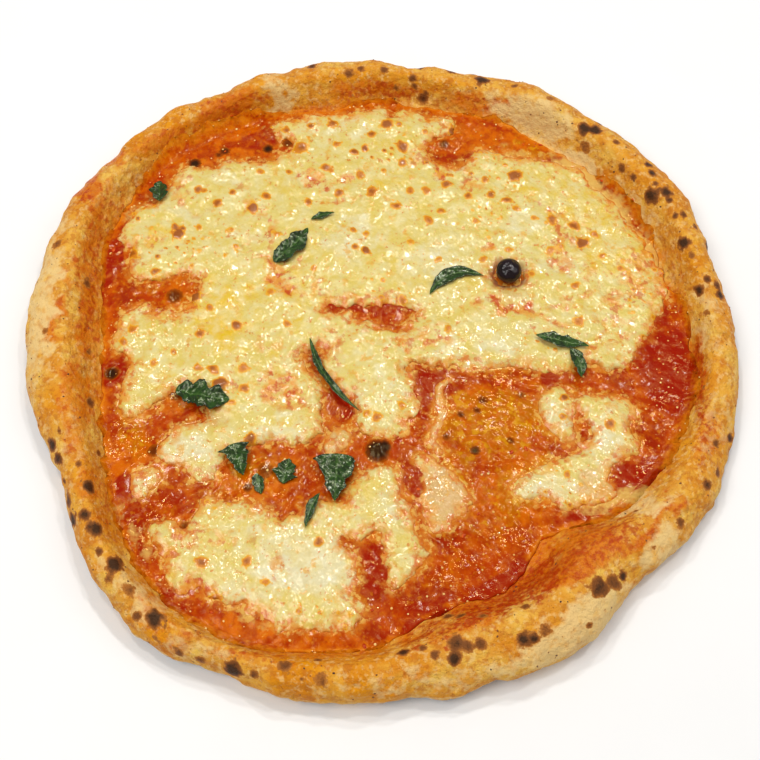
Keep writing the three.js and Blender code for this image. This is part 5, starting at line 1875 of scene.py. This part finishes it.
class PIZZA_OT_add_basil(bpy.types.Operator):
    """Adds the wilted basil leaves"""

    bl_idname = "pizza.add_basil"
    bl_label = "Add Basil"

    def execute(self, context):
        material = basil_finish(context.scene.pizza_basil)
        surfaces = toppings_below()
        for number, name in enumerate(BASIL_NODES):
            mesh = make_mesh("wilted_" + name, *leaf_mesh(name, number, surfaces))
            mesh.materials.append(material)
            finish_piece(make_object("wilted_" + name, mesh), "basil", name)
        return {"FINISHED"}


class PIZZA_OT_add_olive(bpy.types.Operator):
    """Adds the small black olive"""

    bl_idname = "pizza.add_olive"
    bl_label = "Add Olive"

    def execute(self, context):
        settings = context.scene.pizza_olive
        mesh = make_mesh("black_olive", *olive_mesh(settings))
        mesh.materials.append(olive_finish(settings))
        finish_piece(make_object("black_olive", mesh), "olive", "olive")
        return {"FINISHED"}


class PIZZA_OT_add_scatter(bpy.types.Operator):
    """Adds the beads of oil, the bits of tomato and the toasted crumbs"""

    bl_idname = "pizza.add_scatter"
    bl_label = "Add Oil, Pulp and Crumbs"

    def execute(self, context):
        settings = context.scene.pizza_scatter
        cheese = [bpy.data.objects["melted_" + name] for name in CHEESE_NODES]
        sauce = [bpy.data.objects["sauce_layer"]]
        dough = [bpy.data.objects["baked_dough"]]
        strewn = (
            ("oil_beads", cheese + sauce, OIL_SHAPE, settings.oil_density, oil_finish, "mozzarella"),
            ("tomato_pulp", sauce, PULP_SHAPE, settings.pulp_density, pulp_finish, "tomato"),
            ("toasted_crumbs", dough, CRUMB_SHAPE, settings.crumb_density, crumb_finish, "dough"),
        )
        for number, (name, sources, shape, density, finish, slot) in enumerate(strewn):
            values = {**shape, "Per square metre": density, "Seed": settings.seed + number}
            finish_piece(scatter_on(name, sources, values, finish()), slot)
        return {"FINISHED"}


class PIZZA_PT_panel(bpy.types.Panel):
    """Lists the pizza's pieces"""

    bl_label = "Margherita Pizza"
    bl_idname = "PIZZA_PT_panel"
    bl_space_type = "VIEW_3D"
    bl_region_type = "UI"
    bl_category = "Pizza"

    def draw(self, context):
        for group, operator in PIECES:
            box = self.layout.box()
            box.operator(operator.bl_idname)
            settings = getattr(context.scene, group)
            for name in settings.__annotations__:
                box.prop(settings, name)


SETTINGS = {
    "pizza_stage": PizzaStageSettings,
    "pizza_dough": PizzaDoughSettings,
    "pizza_sauce": PizzaSauceSettings,
    "pizza_cheese": PizzaCheeseSettings,
    "pizza_basil": PizzaBasilSettings,
    "pizza_olive": PizzaOliveSettings,
    "pizza_scatter": PizzaScatterSettings,
}

# In the order in which they are made: the scattered bits lie on the pieces before them.
PIECES = (
    ("pizza_stage", PIZZA_OT_add_stage),
    ("pizza_dough", PIZZA_OT_add_dough),
    ("pizza_sauce", PIZZA_OT_add_sauce),
    ("pizza_cheese", PIZZA_OT_add_mozzarella),
    ("pizza_basil", PIZZA_OT_add_basil),
    ("pizza_olive", PIZZA_OT_add_olive),
    ("pizza_scatter", PIZZA_OT_add_scatter),
)

CLASSES = (*SETTINGS.values(), *(operator for _, operator in PIECES), PIZZA_PT_panel)


def register():
    for cls in CLASSES:
        bpy.utils.register_class(cls)
    for name, cls in SETTINGS.items():
        setattr(bpy.types.Scene, name, PointerProperty(type=cls))


def unregister():
    for name in SETTINGS:
        delattr(bpy.types.Scene, name)
    for cls in reversed(CLASSES):
        bpy.utils.unregister_class(cls)


def main():
    register()
    for _, operator in PIECES:
        area, action = operator.bl_idname.split(".")
        getattr(getattr(bpy.ops, area), action)()


if __name__ == "__main__":
    main()
